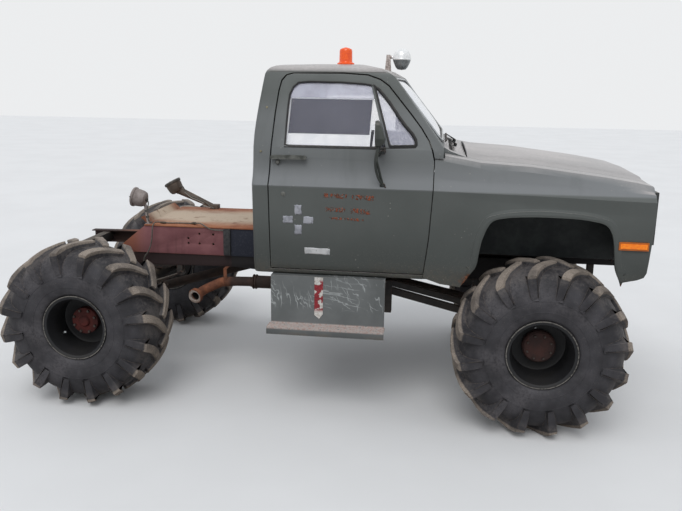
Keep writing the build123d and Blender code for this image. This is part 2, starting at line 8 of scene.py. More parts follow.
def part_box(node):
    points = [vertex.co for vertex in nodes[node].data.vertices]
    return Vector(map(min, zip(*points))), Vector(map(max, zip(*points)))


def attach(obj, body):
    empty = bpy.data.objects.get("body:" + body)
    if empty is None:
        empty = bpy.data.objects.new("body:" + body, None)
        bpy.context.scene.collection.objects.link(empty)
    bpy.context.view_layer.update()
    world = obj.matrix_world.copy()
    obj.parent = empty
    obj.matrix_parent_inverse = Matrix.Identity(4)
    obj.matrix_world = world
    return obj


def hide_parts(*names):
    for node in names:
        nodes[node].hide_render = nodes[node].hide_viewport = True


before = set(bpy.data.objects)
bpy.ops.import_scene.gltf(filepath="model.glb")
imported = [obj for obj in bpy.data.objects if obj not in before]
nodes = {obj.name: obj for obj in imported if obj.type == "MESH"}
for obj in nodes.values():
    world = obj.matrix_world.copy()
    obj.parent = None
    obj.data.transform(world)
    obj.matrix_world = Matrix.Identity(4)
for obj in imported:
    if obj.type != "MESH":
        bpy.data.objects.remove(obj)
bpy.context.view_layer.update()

# Driving places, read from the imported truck
tyre_low, tyre_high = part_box("tyre_front_right")
rear_low, rear_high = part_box("tyre_rear_right")
FRONT_X = (tyre_low.x + tyre_high.x) / 2
REAR_X = (rear_low.x + rear_high.x) / 2
AXLE_Z = (tyre_high.z + tyre_low.z) / 2
WHEEL_MID = -(tyre_low.y + tyre_high.y) / 2
CORNERS = (("front_right", FRONT_X, -1), ("front_left", FRONT_X, 1),
           ("rear_right", REAR_X, -1), ("rear_left", REAR_X, 1))
SIDES = (("right", -1), ("left", 1))

# The windshield's foot and the direction that it leans in, and the bend in the cab's rear wall
FOOT_X, FOOT_Z = -0.712, 1.915
RUN_X, RUN_Z = -0.63, 0.777
REAR_BEND, REAR_LEAN = 1.95, 0.117


def x_at(from_front_axle):
    """A distance from the front axle, in the truck's own frame."""
    return FRONT_X + from_front_axle


def spot_at(x, y, z):
    """A place on the truck, with x from the front axle."""
    return Vector((x_at(x), y, z))


def route(points):
    """A line of places, with x from the front axle."""
    return [(x_at(x), y, z) for x, y, z in points]


# Shader values and materials


def colour(red, green, blue):
    """The shader's own colour for parts from 0 to 255."""
    def linear(part):
        part /= 255
        return part / 12.92 if part <= 0.04045 else ((part + 0.055) / 1.055) ** 2.4
    return (linear(red), linear(green), linear(blue), 1)


class Value:
    """One shader socket that takes part in sums."""

    def __init__(self, finish, socket):
        self.finish = finish
        self.socket = socket

    def calc(self, operation, first, second=None):
        inputs = {0: first} if second is None else {0: first, 1: second}
        return self.finish.node("ShaderNodeMath", {"operation": operation}, inputs)

    __add__ = lambda self, other: self.calc("ADD", self, other)
    __radd__ = lambda self, other: self.calc("ADD", other, self)
    __sub__ = lambda self, other: self.calc("SUBTRACT", self, other)
    __rsub__ = lambda self, other: self.calc("SUBTRACT", other, self)
    __mul__ = lambda self, other: self.calc("MULTIPLY", self, other)
    __rmul__ = lambda self, other: self.calc("MULTIPLY", other, self)
    __abs__ = lambda self: self.calc("ABSOLUTE", self)

    def wave(self):
        return self.calc("SINE", self)

    def at_least(self, other):
        return self.calc("MAXIMUM", self, other)

    def rises(self, low, high):
        """0 under low, 1 over high, smooth in between. With low over high it falls."""
        if low > high:
            return 1 - self.rises(high, low)
        inputs = {"Value": self, "From Min": low, "From Max": high}
        return self.finish.node("ShaderNodeMapRange", {"interpolation_type": "SMOOTHSTEP"}, inputs)


class Finish:
    """A material under construction, with its one surface shader."""

    def __init__(self, name, **constants):
        self.material = bpy.data.materials.new(name)
        self.material.use_nodes = True
        self.tree = self.material.node_tree
        self.shader = self.tree.nodes["Principled BSDF"]
        for socket, value in constants.items():
            self.shader.inputs[socket.replace("_", " ")].default_value = value
        place = self.tree.nodes.new("ShaderNodeTexCoord")
        self.place = Value(self, place.outputs["Object"])
        self.facing = Value(self, place.outputs["Normal"])

    def node(self, kind, settings, inputs, output=0):
        made = self.tree.nodes.new(kind)
        for name, value in settings.items():
            setattr(made, name, value)
        for name, value in inputs.items():
            self.feed(made.inputs[name], value)
        return Value(self, made.outputs[output])

    def feed(self, socket, value):
        if isinstance(value, Value):
            self.tree.links.new(value.socket, socket)
        else:
            socket.default_value = value

    def along(self, axis, of=None):
        return self.node("ShaderNodeSeparateXYZ", {}, {0: of or self.place}, output=axis)

    def vector(self, operation, first, second=None, output=0):
        inputs = {0: first} if second is None else {0: first, 1: second}
        return self.node("ShaderNodeVectorMath", {"operation": operation}, inputs, output)

    def from_axle(self):
        """Distance from a wheel's axle."""
        return self.vector("LENGTH", self.vector("MULTIPLY", self.place, (1, 0, 1)), output=1)

    def stretched(self, scale, shift=(0, 0, 0)):
        return self.node("ShaderNodeMapping", {}, {0: self.place, 1: shift, 3: scale})

    def noise(self, scale, detail=4.0, rough=0.55, stretch=(1, 1, 1), shift=(0, 0, 0)):
        where = self.stretched(stretch, shift)
        return self.node("ShaderNodeTexNoise", {},
                         {"Vector": where, "Scale": scale, "Detail": detail, "Roughness": rough})

    def cells(self, scale):
        where = self.stretched((1, 1, 1))
        return self.node("ShaderNodeTexVoronoi", {"feature": "F1"}, {"Vector": where, "Scale": scale})

    def mix(self, mask, low, high):
        return self.node("ShaderNodeMix", {"data_type": "RGBA"}, {0: mask, 6: low, 7: high}, output=2)

    def coat(self, mask, shade):
        """Lays a shade over the base colour, as far as the mask says."""
        self.base = self.mix(mask, self.base, shade)

    def tones(self, pattern, low, high, first, second):
        """From one shade to another where the pattern rises."""
        return self.mix(pattern.rises(low, high), colour(*first), colour(*second))

    def paint(self, **values):
        for socket, value in values.items():
            self.feed(self.shader.inputs[socket.replace("_", " ")], value)

    def bump(self, height, distance, strength=1.0):
        relief = self.node("ShaderNodeBump", {},
                           {"Height": height, "Distance": distance, "Strength": strength})
        self.feed(self.shader.inputs["Normal"], relief)

    def done(self, rough, height=None, distance=0.001, strength=0.5, **others):
        """Feeds the shader and gives the finished material."""
        self.paint(Base_Color=self.base, Roughness=rough, **others)
        if height is not None:
            self.bump(height, distance, strength)
        return self.material

    def edge_wear(self, reach, low=0.02, high=0.09):
        """How far the surface turns within reach: high on edges and corners."""
        bent = self.node("ShaderNodeBevel", {"samples": 6}, {"Radius": reach})
        flat = self.node("ShaderNodeNewGeometry", {}, {}, output="Normal")
        return (1 - self.vector("DOT_PRODUCT", bent, flat, output=1)).rises(low, high)


DUST = colour(156, 147, 134)
MUD = colour(112, 99, 84)
RUST = colour(122, 68, 40)
DARK_RUST = colour(72, 45, 34)


def inside_cab(f):
    """1 on the cab's and doors' inner faces, which lie well inside the leaning outer skin."""
    belt_height, side_lean = 1.62, 0.26
    height = f.along(2)
    lean = (height - belt_height).at_least(0.0) * side_lean
    within = (abs(f.along(1)) + lean).rises(0.957, 0.952)
    within = within * height.rises(1.09, 1.096) * height.rises(2.366, 2.362)
    upper = (height - REAR_BEND).at_least(0.0) * REAR_LEAN
    within = within * (f.along(0) - upper).rises(x_at(-1.935), x_at(-1.93))
    within = within * f.along(0).rises(x_at(-0.735), x_at(-0.74))
    before_glass = (f.along(0) - x_at(FOOT_X)) * RUN_Z + (height - FOOT_Z) * -RUN_X
    within = within * before_glass.rises(-0.012, -0.018)
    ceiling = f.along(2, f.facing).rises(-0.4, -0.6) * height.rises(2.2, 2.25)
    return within.at_least(ceiling)


def olive_finish(name="olive_paint_faded_and_sheen", lined=False, salted=()):
    """Matt grey-green paint: sun-faded on top with a painted sheen there, a painted highlight band above the
    crease, painted shade towards the bottom, dusty low down, with streaks and small chips.
    """
    f = Finish(name, Specular_IOR_Level=0.42, Coat_Roughness=0.32)
    height = f.along(2)
    up = f.along(2, f.facing)
    broad = f.noise(1.3, 5)
    fine = f.noise(42, 6, 0.6)
    streaks = f.noise(6, 4, 0.6, stretch=(1, 1, 0.07))
    f.base = f.tones(broad, 0.32, 0.7, (84, 88, 86), (95, 99, 97))
    # Painted highlight: a lighter band from the crease up the upper sides, where the surface leans in towards
    # the sky.
    shoulder = height.rises(1.606, 1.622) * (0.5 + height.rises(1.84, 1.64) * 0.5)
    shoulder = shoulder * height.rises(2.24, 2.04)
    f.coat(shoulder, colour(122, 125, 127))
    # Painted shade: the sides darken towards the bottom, below the crease.
    f.coat(height.rises(1.54, 1.04) * 0.75, colour(62, 66, 64))
    f.coat(streaks.rises(0.52, 0.8) * 0.25, colour(70, 75, 72))
    # Top faces: sun-faded paint, made paler still as a painted sheen.
    faded = f.tones(fine, 0.35, 0.7, (170, 164, 162), (188, 181, 179))
    top = up.rises(0.6, 0.95) * (0.58 + broad.rises(0.35, 0.65) * 0.36)
    f.coat(top, faded)
    low_dirt = (height + broad * 0.25).rises(1.26, 1.06) * fine.rises(0.28, 0.62) * 0.4
    f.coat(low_dirt, MUD)
    splash = (height + broad * 0.4).rises(1.5, 1.18) * f.noise(170, 3, 0.5).rises(0.6, 0.7) * 0.35
    f.coat(splash, DUST)
    chips = f.cells(34).rises(0.16, 0.1) * f.noise(5, 2).rises(0.6, 0.68)
    f.coat(chips * 0.7, colour(150, 150, 142))
    worn = f.edge_wear(0.004) * f.noise(20, 4).rises(0.48, 0.62)
    f.coat(worn * 0.55, colour(132, 132, 124))
    rough = 0.5 + fine * 0.16 + low_dirt * 0.2
    relief = broad * 0.6 + fine * 0.12
    for x, z, reach in salted:
        away = abs(f.along(0) - x_at(x)) * 1.15 + abs(height - z) * 0.9
        away = away + f.noise(26, 5, 0.6) * reach * 1.1
        eaten = away.rises(reach * 1.18, reach * 0.92) * f.along(1).rises(0.0, -0.1)
        grain = f.noise(75, 6, 0.65)
        scale = f.mix(grain.rises(0.42, 0.6), colour(150, 96, 66), DARK_RUST)
        f.coat(eaten, scale)
        rough = rough + eaten * 0.2
        relief = relief + eaten * grain * 0.8
    if lined:
        inner = inside_cab(f)
        cloth = f.mix(f.noise(60, 4).rises(0.4, 0.6), colour(62, 60, 57), colour(76, 73, 69))
        f.coat(inner, cloth)
    return f.done(rough, relief, 0.0016, 0.35, Coat_Weight=up.rises(0.5, 0.9) * 0.6)


def primer_finish():
    """Dull red primer on the frame, stained and rusted at its edges."""
    f = Finish("red_primer_stained", Specular_IOR_Level=0.3)
    broad = f.noise(3.2, 6, 0.6)
    fine = f.noise(60, 5)
    streaks = f.noise(14, 4, 0.6, stretch=(1, 1, 0.12))
    tail = f.along(0).rises(-1.36, -1.56)
    f.base = f.tones(broad, 0.35, 0.65, (118, 74, 78), (140, 94, 96))
    f.coat(streaks.rises(0.54, 0.72) * 0.55, colour(74, 52, 52))
    f.coat(tail * broad.rises(0.36, 0.58) * 0.9, colour(140, 84, 54))
    worn = f.edge_wear(0.006) * fine.rises(0.35, 0.6)
    f.coat(worn * 0.8, colour(134, 84, 58))
    plate = f.along(2).rises(0.978, 0.984)
    upright = f.along(0).rises(x_at(-2.3235), x_at(-2.3225))
    grey = f.tones(fine, 0.4, 0.6, (66, 66, 67), (52, 52, 54))
    f.coat(upright * plate, grey)
    forward = f.along(0).rises(x_at(-2.27), x_at(-2.269))
    dark_blue = f.mix(fine.rises(0.5, 0.66) * 0.5, colour(42, 45, 56), colour(66, 68, 78))
    f.coat(forward, dark_blue)
    low = 1 - plate * f.along(0).rises(x_at(-1.99), x_at(-2.01))
    f.coat(low * 0.92, colour(32, 29, 28))
    return f.done(0.66 + fine * 0.2, broad * 0.5 + fine * 0.3, 0.0015, 0.5)


def deck_finish():
    """Rust-orange plate with a pale, trodden middle."""
    f = Finish("deck_rust", Specular_IOR_Level=0.3)
    broad = f.noise(3.0, 6, 0.62)
    fine = f.noise(48, 6, 0.65)
    stain = f.noise(9, 5, 0.6, shift=(3, 1, 0))
    across = abs(f.along(1))
    pale = (across + broad * 0.35).rises(0.56, 0.3)
    f.base = f.tones(broad, 0.38, 0.64, (168, 112, 82), (138, 84, 60))
    f.coat(pale * 0.9, colour(196, 180, 160))
    f.coat(stain.rises(0.56, 0.72) * 0.7, colour(112, 74, 56))
    f.coat(fine.rises(0.6, 0.72) * 0.5, colour(90, 60, 46))
    return f.done(0.74 + fine * 0.16, stain * 0.5 + fine * 0.5, 0.0016, 0.6)


def grimy_finish(name, clean, dirt, rough, shine=0.35):
    """Oily dark steel with dust in its hollows and rubbed edges."""
    f = Finish(name, Specular_IOR_Level=shine)
    broad = f.noise(7, 6, 0.6)
    fine = f.noise(70, 5)
    up = f.along(2, f.facing)
    f.base = f.tones(broad, 0.38, 0.66, clean, dirt)
    f.coat(up.rises(0.2, 0.9) * fine.rises(0.3, 0.6) * 0.5, MUD)
    f.coat(f.edge_wear(0.004) * fine.rises(0.4, 0.6) * 0.5, RUST)
    return f.done(rough + fine * 0.2, broad * 0.6 + fine * 0.4, 0.002, 0.5)


def rust_finish(name, first, second):
    """Dull rusted steel in two shades, pitted with dark rust."""
    f = Finish(name, Specular_IOR_Level=0.3)
    broad = f.noise(9, 6, 0.62)
    fine = f.noise(85, 5, 0.6)
    f.base = f.tones(broad, 0.36, 0.62, first, second)
    f.coat(fine.rises(0.55, 0.7) * 0.6, DARK_RUST)
    return f.done(0.78 + fine * 0.14, broad * 0.5 + fine * 0.5, 0.002, 0.6)


def pipe_finish():
    """Dark brown pipe, orange rust over its bent end, and painted shade inside its open end."""
    f = Finish("exhaust_rust", Specular_IOR_Level=0.3)
    broad = f.noise(9, 6, 0.62)
    fine = f.noise(85, 5, 0.6)
    ending = (f.along(0) + broad * 0.08).rises(x_at(-2.2), x_at(-2.29))
    dark = f.tones(broad, 0.36, 0.62, (66, 50, 44), (48, 40, 37))
    bright = f.tones(broad, 0.36, 0.62, (138, 88, 64), (100, 64, 50))
    f.base = f.mix(fine.rises(0.55, 0.7) * 0.6, f.mix(ending, dark, bright), DARK_RUST)
    # Painted shade: the inner wall near the pipe's open end is near black.
    outlet, heading = (x_at(-2.507), -0.53, 0.694), (-0.34, -0.92, -0.195)
    off = f.vector("SUBTRACT", f.place, outlet)
    aside = f.vector("LENGTH", f.vector("CROSS_PRODUCT", off, heading), output=1)
    near_end = f.vector("DOT_PRODUCT", off, heading, output=1)
    f.coat(aside.rises(0.0335, 0.0325) * near_end.rises(-0.06, -0.05), colour(16, 13, 12))
    return f.done(0.78 + fine * 0.14, broad * 0.5 + fine * 0.5, 0.002, 0.6)


def rubber_finish():
    """Grey-black rubber, with dust and a painted sheen in the grooves between the lugs. Places are from the
    wheel's centre, so worn and muddy parts follow it.
    """
    f = Finish("tyre_rubber_muddy", Specular_IOR_Level=0.35)
    across = f.along(1)
    radius = f.from_axle()
    broad = f.noise(5.5, 6, 0.6)
    fine = f.noise(55, 6, 0.62)
    grit = f.noise(230, 3)
    patches = f.noise(3.1, 3, 0.5, shift=(2, 5, 1))
    f.base = f.tones(broad, 0.34, 0.68, (44, 43, 46), (66, 65, 69))
    f.coat(patches.rises(0.5, 0.66) * fine.rises(0.3, 0.6) * 0.5, colour(98, 95, 98))
    crest = radius + across * across * 0.75 + (fine - 0.5) * 0.012
    bars = crest.rises(0.568, 0.58)
    dried = bars * (0.45 + broad.rises(0.36, 0.58) * 0.55) * fine.rises(0.16, 0.46)
    mud = f.tones(grit, 0.38, 0.62, (170, 158, 146), (134, 123, 112))
    f.coat(dried * 0.88, mud)
    # Grooves between the lugs: a lighter grey-brown, partly dust and partly a painted sheen on the carcass.
    groove = crest.rises(0.572, 0.562) * radius.rises(0.46, 0.52)
    groove = groove * (broad * 0.6 + fine * 0.4).rises(0.42, 0.6)
    f.coat(groove * 0.5, colour(112, 106, 102))
    specks = grit.rises(0.62, 0.7) * broad.rises(0.4, 0.62)
    f.coat(specks * 0.3, DUST)
    worn = f.edge_wear(0.005, 0.03, 0.14) * fine.rises(0.34, 0.58) * crest.rises(0.42, 0.47)
    f.coat(worn * 0.5, colour(128, 116, 104))
    return f.done(0.58 + fine * 0.2 + dried * 0.2, fine * 0.5 + broad * 0.5, 0.0022, 0.7)


def rim_finish():
    """Black steel rim: greyed barrel, rubbed outer lip, dust in the well."""
    f = Finish("rim_black_worn", Metallic=0.25)
    radius = f.from_axle()
    broad = f.noise(8, 5)
    fine = f.noise(60, 5)
    f.base = f.tones(broad, 0.36, 0.66, (11, 11, 12), (20, 20, 22))
    barrel = radius.rises(0.176, 0.198) * radius.rises(0.226, 0.214)
    f.coat(barrel * (0.05 + fine * 0.12), colour(70, 72, 78))
    lip = radius.rises(0.2235, 0.2295) * fine.rises(0.3, 0.55)
    f.coat(lip * 0.85, colour(138, 134, 128))
    dusty = (f.along(2) + broad * 0.12).rises(-0.06, -0.17)
    f.coat(dusty * 0.14, colour(92, 88, 84))
    return f.done(0.42 + fine * 0.3, broad * 0.4 + fine * 0.3, 0.001, 0.4)


def glass_finish(name, tint, dust_amount, glance=0.0, vent_pale=0.0, top_pale=0.0):
    """Thin dusty glazing: the cab shows through it, and its pale tint comes up at a glancing look as a
    painted reflection.
    """
    f = Finish(name, Roughness=0.05, IOR=1.45, Specular_IOR_Level=0.5)
    broad = f.noise(5, 5)
    smears = f.noise(26, 5, 0.6, stretch=(1, 1, 0.3))
    facing = f.node("ShaderNodeLayerWeight", {}, {"Blend": 0.5}, output="Facing")
    alpha = 0.04 + (broad.rises(0.35, 0.75) * 0.5 + smears.rises(0.48, 0.72) * 0.5) * dust_amount
    # Painted reflection: at a glancing look the pale tint covers the glass, standing in for the sky.
    alpha = alpha + facing.rises(0.6, 0.9) * glance
    if vent_pale:
        # Over the vent pane, and in a band along the top of the rest, the pale tint is laid on more thickly.
        foot_x, foot_z, bar_lean = x_at(-1.041), 1.876, 0.3164
        vent = (f.along(0) - foot_x + (f.along(2) - foot_z) * bar_lean).rises(-0.002, 0.002)
        alpha = alpha + vent * (0.75 + smears.rises(0.4, 0.7) * 0.25) * vent_pale
        band = f.along(2).rises(2.18, 2.2) * (0.8 + broad.rises(0.4, 0.6) * 0.2)
        alpha = alpha + (1 - vent) * band * top_pale
    f.paint(Base_Color=colour(*tint), Alpha=alpha)
    return f.material


def lens_finish(name, bright, deep, ribs=0, glow=0.0):
    """Moulded lamp plastic with a rib pattern, and a painted glow of its own colour for the daylight through
    it.
    """
    f = Finish(name, Roughness=0.22, Coat_Weight=0.15, Emission_Strength=glow)
    fine = f.noise(70, 4)
    f.base = f.tones(fine, 0.35, 0.65, bright, deep)
    # Painted glow: the plastic gives off its own colour, standing in for daylight through it.
    f.paint(Base_Color=f.base, Emission_Color=f.base)
    if ribs:
        f.bump((f.along(0) * ribs).wave(), 0.0005, 0.4)
    return f.material


def chrome_finish():
    """Dull chrome with a little rust."""
    f = Finish("lamp_chrome_dull", Metallic=1.0)
    broad = f.noise(12, 5)
    fine = f.noise(90, 4)
    f.base = f.tones(broad, 0.4, 0.68, (205, 206, 206), (150, 148, 144))
    f.coat(fine.rises(0.62, 0.72) * 0.5, RUST)
    return f.done(0.14 + broad.rises(0.4, 0.7) * 0.25)


def plain_finish(name, first, second, rough, grain=60, relief=0.0006, metal=0.0):
    """A small part's finish: two close shades, a grain and dust on top."""
    f = Finish(name, Metallic=metal)
    broad = f.noise(grain / 5, 5)
    fine = f.noise(grain, 5)
    up = f.along(2, f.facing)
    f.base = f.tones(broad, 0.35, 0.65, first, second)
    f.coat(up.rises(0.3, 0.9) * fine.rises(0.4, 0.65) * 0.3, DUST)
    return f.done(rough + fine * 0.15, broad * 0.5 + fine * 0.5, relief, 0.5)


def cloth_finish():
    """Worn ribbed seat cloth."""
    f = Finish("seat_cloth_worn", Sheen_Weight=0.25)
    broad = f.noise(5, 5)
    weave = (f.along(0) * 900).wave() * (f.along(1) * 900).wave()
    f.base = f.tones(broad, 0.35, 0.68, (66, 62, 60), (88, 82, 78))
    f.coat(f.noise(30, 5).rises(0.56, 0.7) * 0.4, DUST)
    return f.done(0.86 + broad * 0.08, weave * 0.4 + broad, 0.0012, 0.5)


def tape_finish(name, shade, second, patchy):
    """Thin tape or paint that has partly rubbed off the door."""
    f = Finish(name, Specular_IOR_Level=0.3)
    wear = f.noise(65, 5, 0.65, stretch=(1, 1, 0.6))
    f.base = f.mix(f.noise(24, 4).rises(0.4, 0.65), colour(*shade), colour(*second))
    return f.done(0.7 + wear * 0.1, Alpha=wear.rises(patchy + 0.05, patchy - 0.05))


def spot_finish():
    """The roof lamp's chrome bowl with a painted reflection: near white over its rim, duller grey under it,
    on a pale bracket.
    """
    f = Finish("spotlight_chrome")
    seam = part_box("roof_spotlight")[1].z - 0.093
    fine = f.noise(60, 5)
    broad = f.noise(14, 4)
    over = f.along(2).rises(seam - 0.001, seam + 0.001)
    bracket = f.along(0).rises(x_at(-1.135), x_at(-1.139))
    # Painted reflection: near white over the rim where the chrome mirrors the sky, grey under it.
    dull = f.tones(broad, 0.4, 0.6, (150, 154, 154), (112, 116, 116))
    bright = f.tones(fine, 0.4, 0.7, (246, 246, 246), (226, 228, 228))
    f.base = f.mix(over, dull, bright)
    pale = f.tones(fine, 0.4, 0.6, (196, 184, 178), (150, 138, 132))
    f.coat(bracket, pale)
    shine = (1 - bracket) * (0.5 - over * 0.2)
    return f.done(0.2 + fine * 0.12 + bracket * 0.3, Metallic=shine)


def lamp_finish():
    """Work lamp bodies: faded pinkish grey on the near one, brown-black on the far one."""
    f = Finish("work_lamp_shades", Specular_IOR_Level=0.4)
    broad = f.noise(16, 5)
    fine = f.noise(90, 5)
    far = f.along(1).rises(-0.01, 0.01)
    near = f.tones(broad, 0.36, 0.66, (158, 148, 144), (122, 112, 108))
    dark = f.tones(broad, 0.36, 0.66, (78, 68, 60), (104, 92, 82))
    f.base = f.mix(far, near, dark)
    f.coat(fine.rises(0.58, 0.7) * 0.6, colour(84, 70, 60))
    f.coat(f.edge_wear(0.004) * fine.rises(0.4, 0.6) * 0.6, RUST)
    return f.done(0.5 + fine * 0.2, broad + fine * 0.4, 0.001, 0.4)


def strip_finish():
    """White strip with worn red patches."""
    f = Finish("skirt_strip_worn", Specular_IOR_Level=0.4)
    blots = f.noise(16, 4, 0.5, shift=(2, 0, 5))
    middle = f.along(2).rises(0.745, 0.775) * f.along(2).rises(0.985, 0.96)
    fine = f.noise(80, 5)
    f.base = f.tones(fine, 0.4, 0.66, (216, 214, 210), (188, 182, 174))
    red = f.tones(fine, 0.4, 0.6, (152, 44, 52), (124, 38, 44))
    f.coat(blots.rises(0.46, 0.5) * middle, red)
    return f.done(0.5 + fine * 0.2, fine, 0.0006, 0.4)


def scratched_finish():
    """The skirt plate: greyer paint with pale scrapes, a worn pink edge on its tread."""
    f = Finish("step_paint_scraped", Specular_IOR_Level=0.35)
    broad = f.noise(3.5, 5)
    fine = f.noise(50, 5)
    height = f.along(2)
    f.base = f.tones(broad, 0.34, 0.66, (92, 95, 95), (106, 109, 109))
    zone = f.noise(2.6, 3, 0.5, shift=(4, 0, 2)).rises(0.34, 0.48) * height.rises(0.755, 0.8)
    tilts = ((9, 1, 38), (38, 1, 8), (20, 1, 26), (30, 1, 14))
    scrapes = 0.0
    for turn, (a, b, c) in enumerate(tilts):
        bend = f.noise(3 + turn, 3, shift=(turn * 3.1, 0, turn))
        line = f.node("ShaderNodeTexWave", {"bands_direction": "DIAGONAL"},
                      {"Vector": f.stretched((a / 10, b, c / 10), (turn, 0, 0)), "Scale": 3.1,
                       "Distortion": 6.0, "Detail": 3.0, "Detail Scale": 2.0})
        scrapes = scrapes + line.rises(0.965, 0.992) * bend.rises(0.46, 0.56)
    f.coat(scrapes.rises(0.0, 1.0) * zone * 0.65, colour(172, 176, 176))
    tread = height.rises(0.672, 0.658) * height.rises(0.64, 0.652)
    pink = f.tones(fine, 0.4, 0.62, (206, 196, 190), (168, 142, 134))
    f.coat(tread * fine.rises(0.25, 0.55) * 0.9, pink)
    low = height.rises(0.64, 0.61) * broad.rises(0.4, 0.6)
    f.coat(low * 0.5, MUD)
    f.coat(f.edge_wear(0.004) * fine.rises(0.35, 0.6) * 0.6, colour(164, 150, 140))
    return f.done(0.56 + fine * 0.2, broad + fine * 0.3, 0.0012, 0.4)


# The truck's own finishes
olive = olive_finish()
cab_paint = olive_finish("olive_paint_cab", lined=True)
door_paint = olive_finish("olive_paint_door", lined=True)
fender_paint = olive_finish("olive_paint_fender", salted=((-0.49, 1.0, 0.125), (0.49, 1.02, 0.04)))
primer = primer_finish()
deck_rust = deck_finish()
steel = grimy_finish("steel_grimy", (44, 42, 42), (66, 61, 57), 0.55)
black_paint = grimy_finish("black_frame_paint", (30, 34, 35), (50, 54, 54), 0.5)
oily = grimy_finish("engine_oily", (34, 31, 30), (56, 50, 45), 0.6, 0.3)
pipe_rust = pipe_finish()
shaft_rust = rust_finish("shaft_rust", (68, 56, 50), (52, 46, 43))
rubber = rubber_finish()
rim_black = rim_finish()
hub_red = rust_finish("hub_red", (92, 42, 38), (70, 36, 34))
hub_brown = rust_finish("hub_brown", (74, 50, 46), (58, 44, 42))
nut_steel = plain_finish("nut_steel", (84, 76, 72), (66, 58, 54), 0.5, metal=0.6)
side_glass = glass_finish("side_glass_dust_and_reflection", (206, 207, 224), 0.05, 0.06, 0.42, 0.5)
front_glass = glass_finish("windshield_dust_and_reflection", (244, 248, 255), 0.08, 0.86)
amber = lens_finish("amber_marker", (250, 138, 6), (238, 116, 4), 700, 0.22)
beacon_orange = lens_finish("beacon_orange", (246, 94, 8), (230, 76, 4), 420, 0.1)
clear_lens = lens_finish("clear_lens", (206, 208, 206), (172, 174, 172), 500)
chrome = chrome_finish()
weather_rubber = plain_finish("weather_rubber", (26, 26, 27), (38, 38, 38), 0.6)
trim_silver = plain_finish("trim_silver", (186, 190, 192), (160, 164, 166), 0.22, metal=0.9)
dark_plastic = plain_finish("dark_plastic", (40, 40, 41), (54, 53, 52), 0.55, 160)
lamp_grey = plain_finish("lamp_grey_faded", (150, 140, 136), (122, 112, 108), 0.5)
lamp_dark = plain_finish("lamp_dark", (56, 56, 54), (78, 74, 70), 0.5)
cable_grey = plain_finish("cable_grey", (80, 78, 72), (100, 97, 90), 0.6, 300)
wire_pale = plain_finish("wire_pale", (170, 168, 162), (150, 146, 140), 0.5, 300)
seat_cloth = cloth_finish()
white_tape = tape_finish("white_tape_worn", (176, 178, 186), (146, 148, 156), 0.63)
orange_paint = tape_finish("orange_paint_worn", (150, 80, 56), (120, 78, 62), 0.47)
sign_card = plain_finish("sign_card_dark", (56, 56, 70), (64, 64, 78), 0.5)
sign_white = plain_finish("sign_card_white", (252, 252, 252), (244, 245, 246), 0.5)
step_paint = scratched_finish()
handle_worn = plain_finish("handle_worn", (62, 64, 60), (104, 105, 100), 0.42, 110, metal=0.3)
trim_dull = plain_finish("trim_dull", (128, 128, 124), (96, 96, 92), 0.38, metal=0.7)
mirror_paint = plain_finish("mirror_olive", (56, 60, 56), (72, 76, 71), 0.42)
arm_olive = plain_finish("mirror_arm_olive", (42, 46, 43), (62, 65, 61), 0.5)
mirror_silver = plain_finish("mirror_silver", (210, 214, 216), (196, 200, 202), 0.04, metal=1.0)
strip_tape = tape_finish("strip_tape_worn", (206, 207, 208), (182, 184, 186), 0.66)
grille_grey = plain_finish("grille_grey", (58, 60, 60), (80, 82, 82), 0.45, metal=0.4)
amber_rim = plain_finish("amber_rim", (196, 104, 24), (176, 92, 20), 0.3)
bundle_tape = plain_finish("bundle_tape", (58, 54, 48), (92, 82, 68), 0.6, 200)
pipe_ring = plain_finish("exhaust_ring_pale", (176, 164, 156), (134, 118, 108), 0.6, 120, 0.001)
rivet_pale = plain_finish("rivet_pale", (150, 142, 116), (122, 116, 96), 0.55)
spot_chrome = spot_finish()
lamp_shades = lamp_finish()
strip_worn = strip_finish()


# Making pieces


def stood(name, data):
    """A new object in the scene with this mesh, curve, lamp or camera."""
    thing = bpy.data.objects.new(name, data)
    bpy.context.collection.objects.link(thing)
    return thing


def finished_mesh(name, bm):
    """The mesh of a bmesh, with its faces turned outwards."""
    mesh = bpy.data.meshes.new(name)
    bmesh.ops.recalc_face_normals(bm, faces=bm.faces)
    bm.to_mesh(mesh)
    bm.free()
    return mesh


def mesh_piece(name, bm, body, material, smooth=35):
    """Turns a finished bmesh into a piece that rides on a body."""
    return mesh_object(name, finished_mesh(name, bm), body, material, smooth)


def mesh_object(name, mesh, body, material, smooth=35, at=(0, 0, 0), turn=0.0):
    """A piece with this mesh, standing at a place and turned about the upright."""
    piece = stood(name, mesh)
    piece.matrix_world = Matrix.Translation(at) @ Matrix.Rotation(turn, 4, "Z")
    if not mesh.materials:
        for one in (material if isinstance(material, (list, tuple)) else [material]):
            mesh.materials.append(one)
        mesh.polygons.foreach_set("use_smooth", [True] * len(mesh.polygons))
        mesh.update()
    if smooth:
        sharpen(piece, smooth)
    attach(piece, body)
    return piece


def sharpen(piece, degrees):
    """Splits the shading at edges that turn more than this."""
    split = piece.modifiers.new("crisp_edges", "EDGE_SPLIT")
    split.split_angle = radians(degrees)
    split.use_edge_sharp = False


def value_at(table, place):
    """Reads a table of (place, value) pairs, straight between its rows."""
    for (a, first), (b, second) in zip(table, table[1:]):
        if place <= b:
            return first + (second - first) * (place - a) / (b - a)
    return table[-1][1]


def join_rows(bm, rows, closed=False, index=0):
    """Faces between each row of points and the next, round the rows where they are closed."""
    for first, second in zip(rows, rows[1:]):
        for k in range(len(first) if closed else len(first) - 1):
            j = (k + 1) % len(first)
            bm.faces.new((first[k], first[j], second[j], second[k])).material_index = index


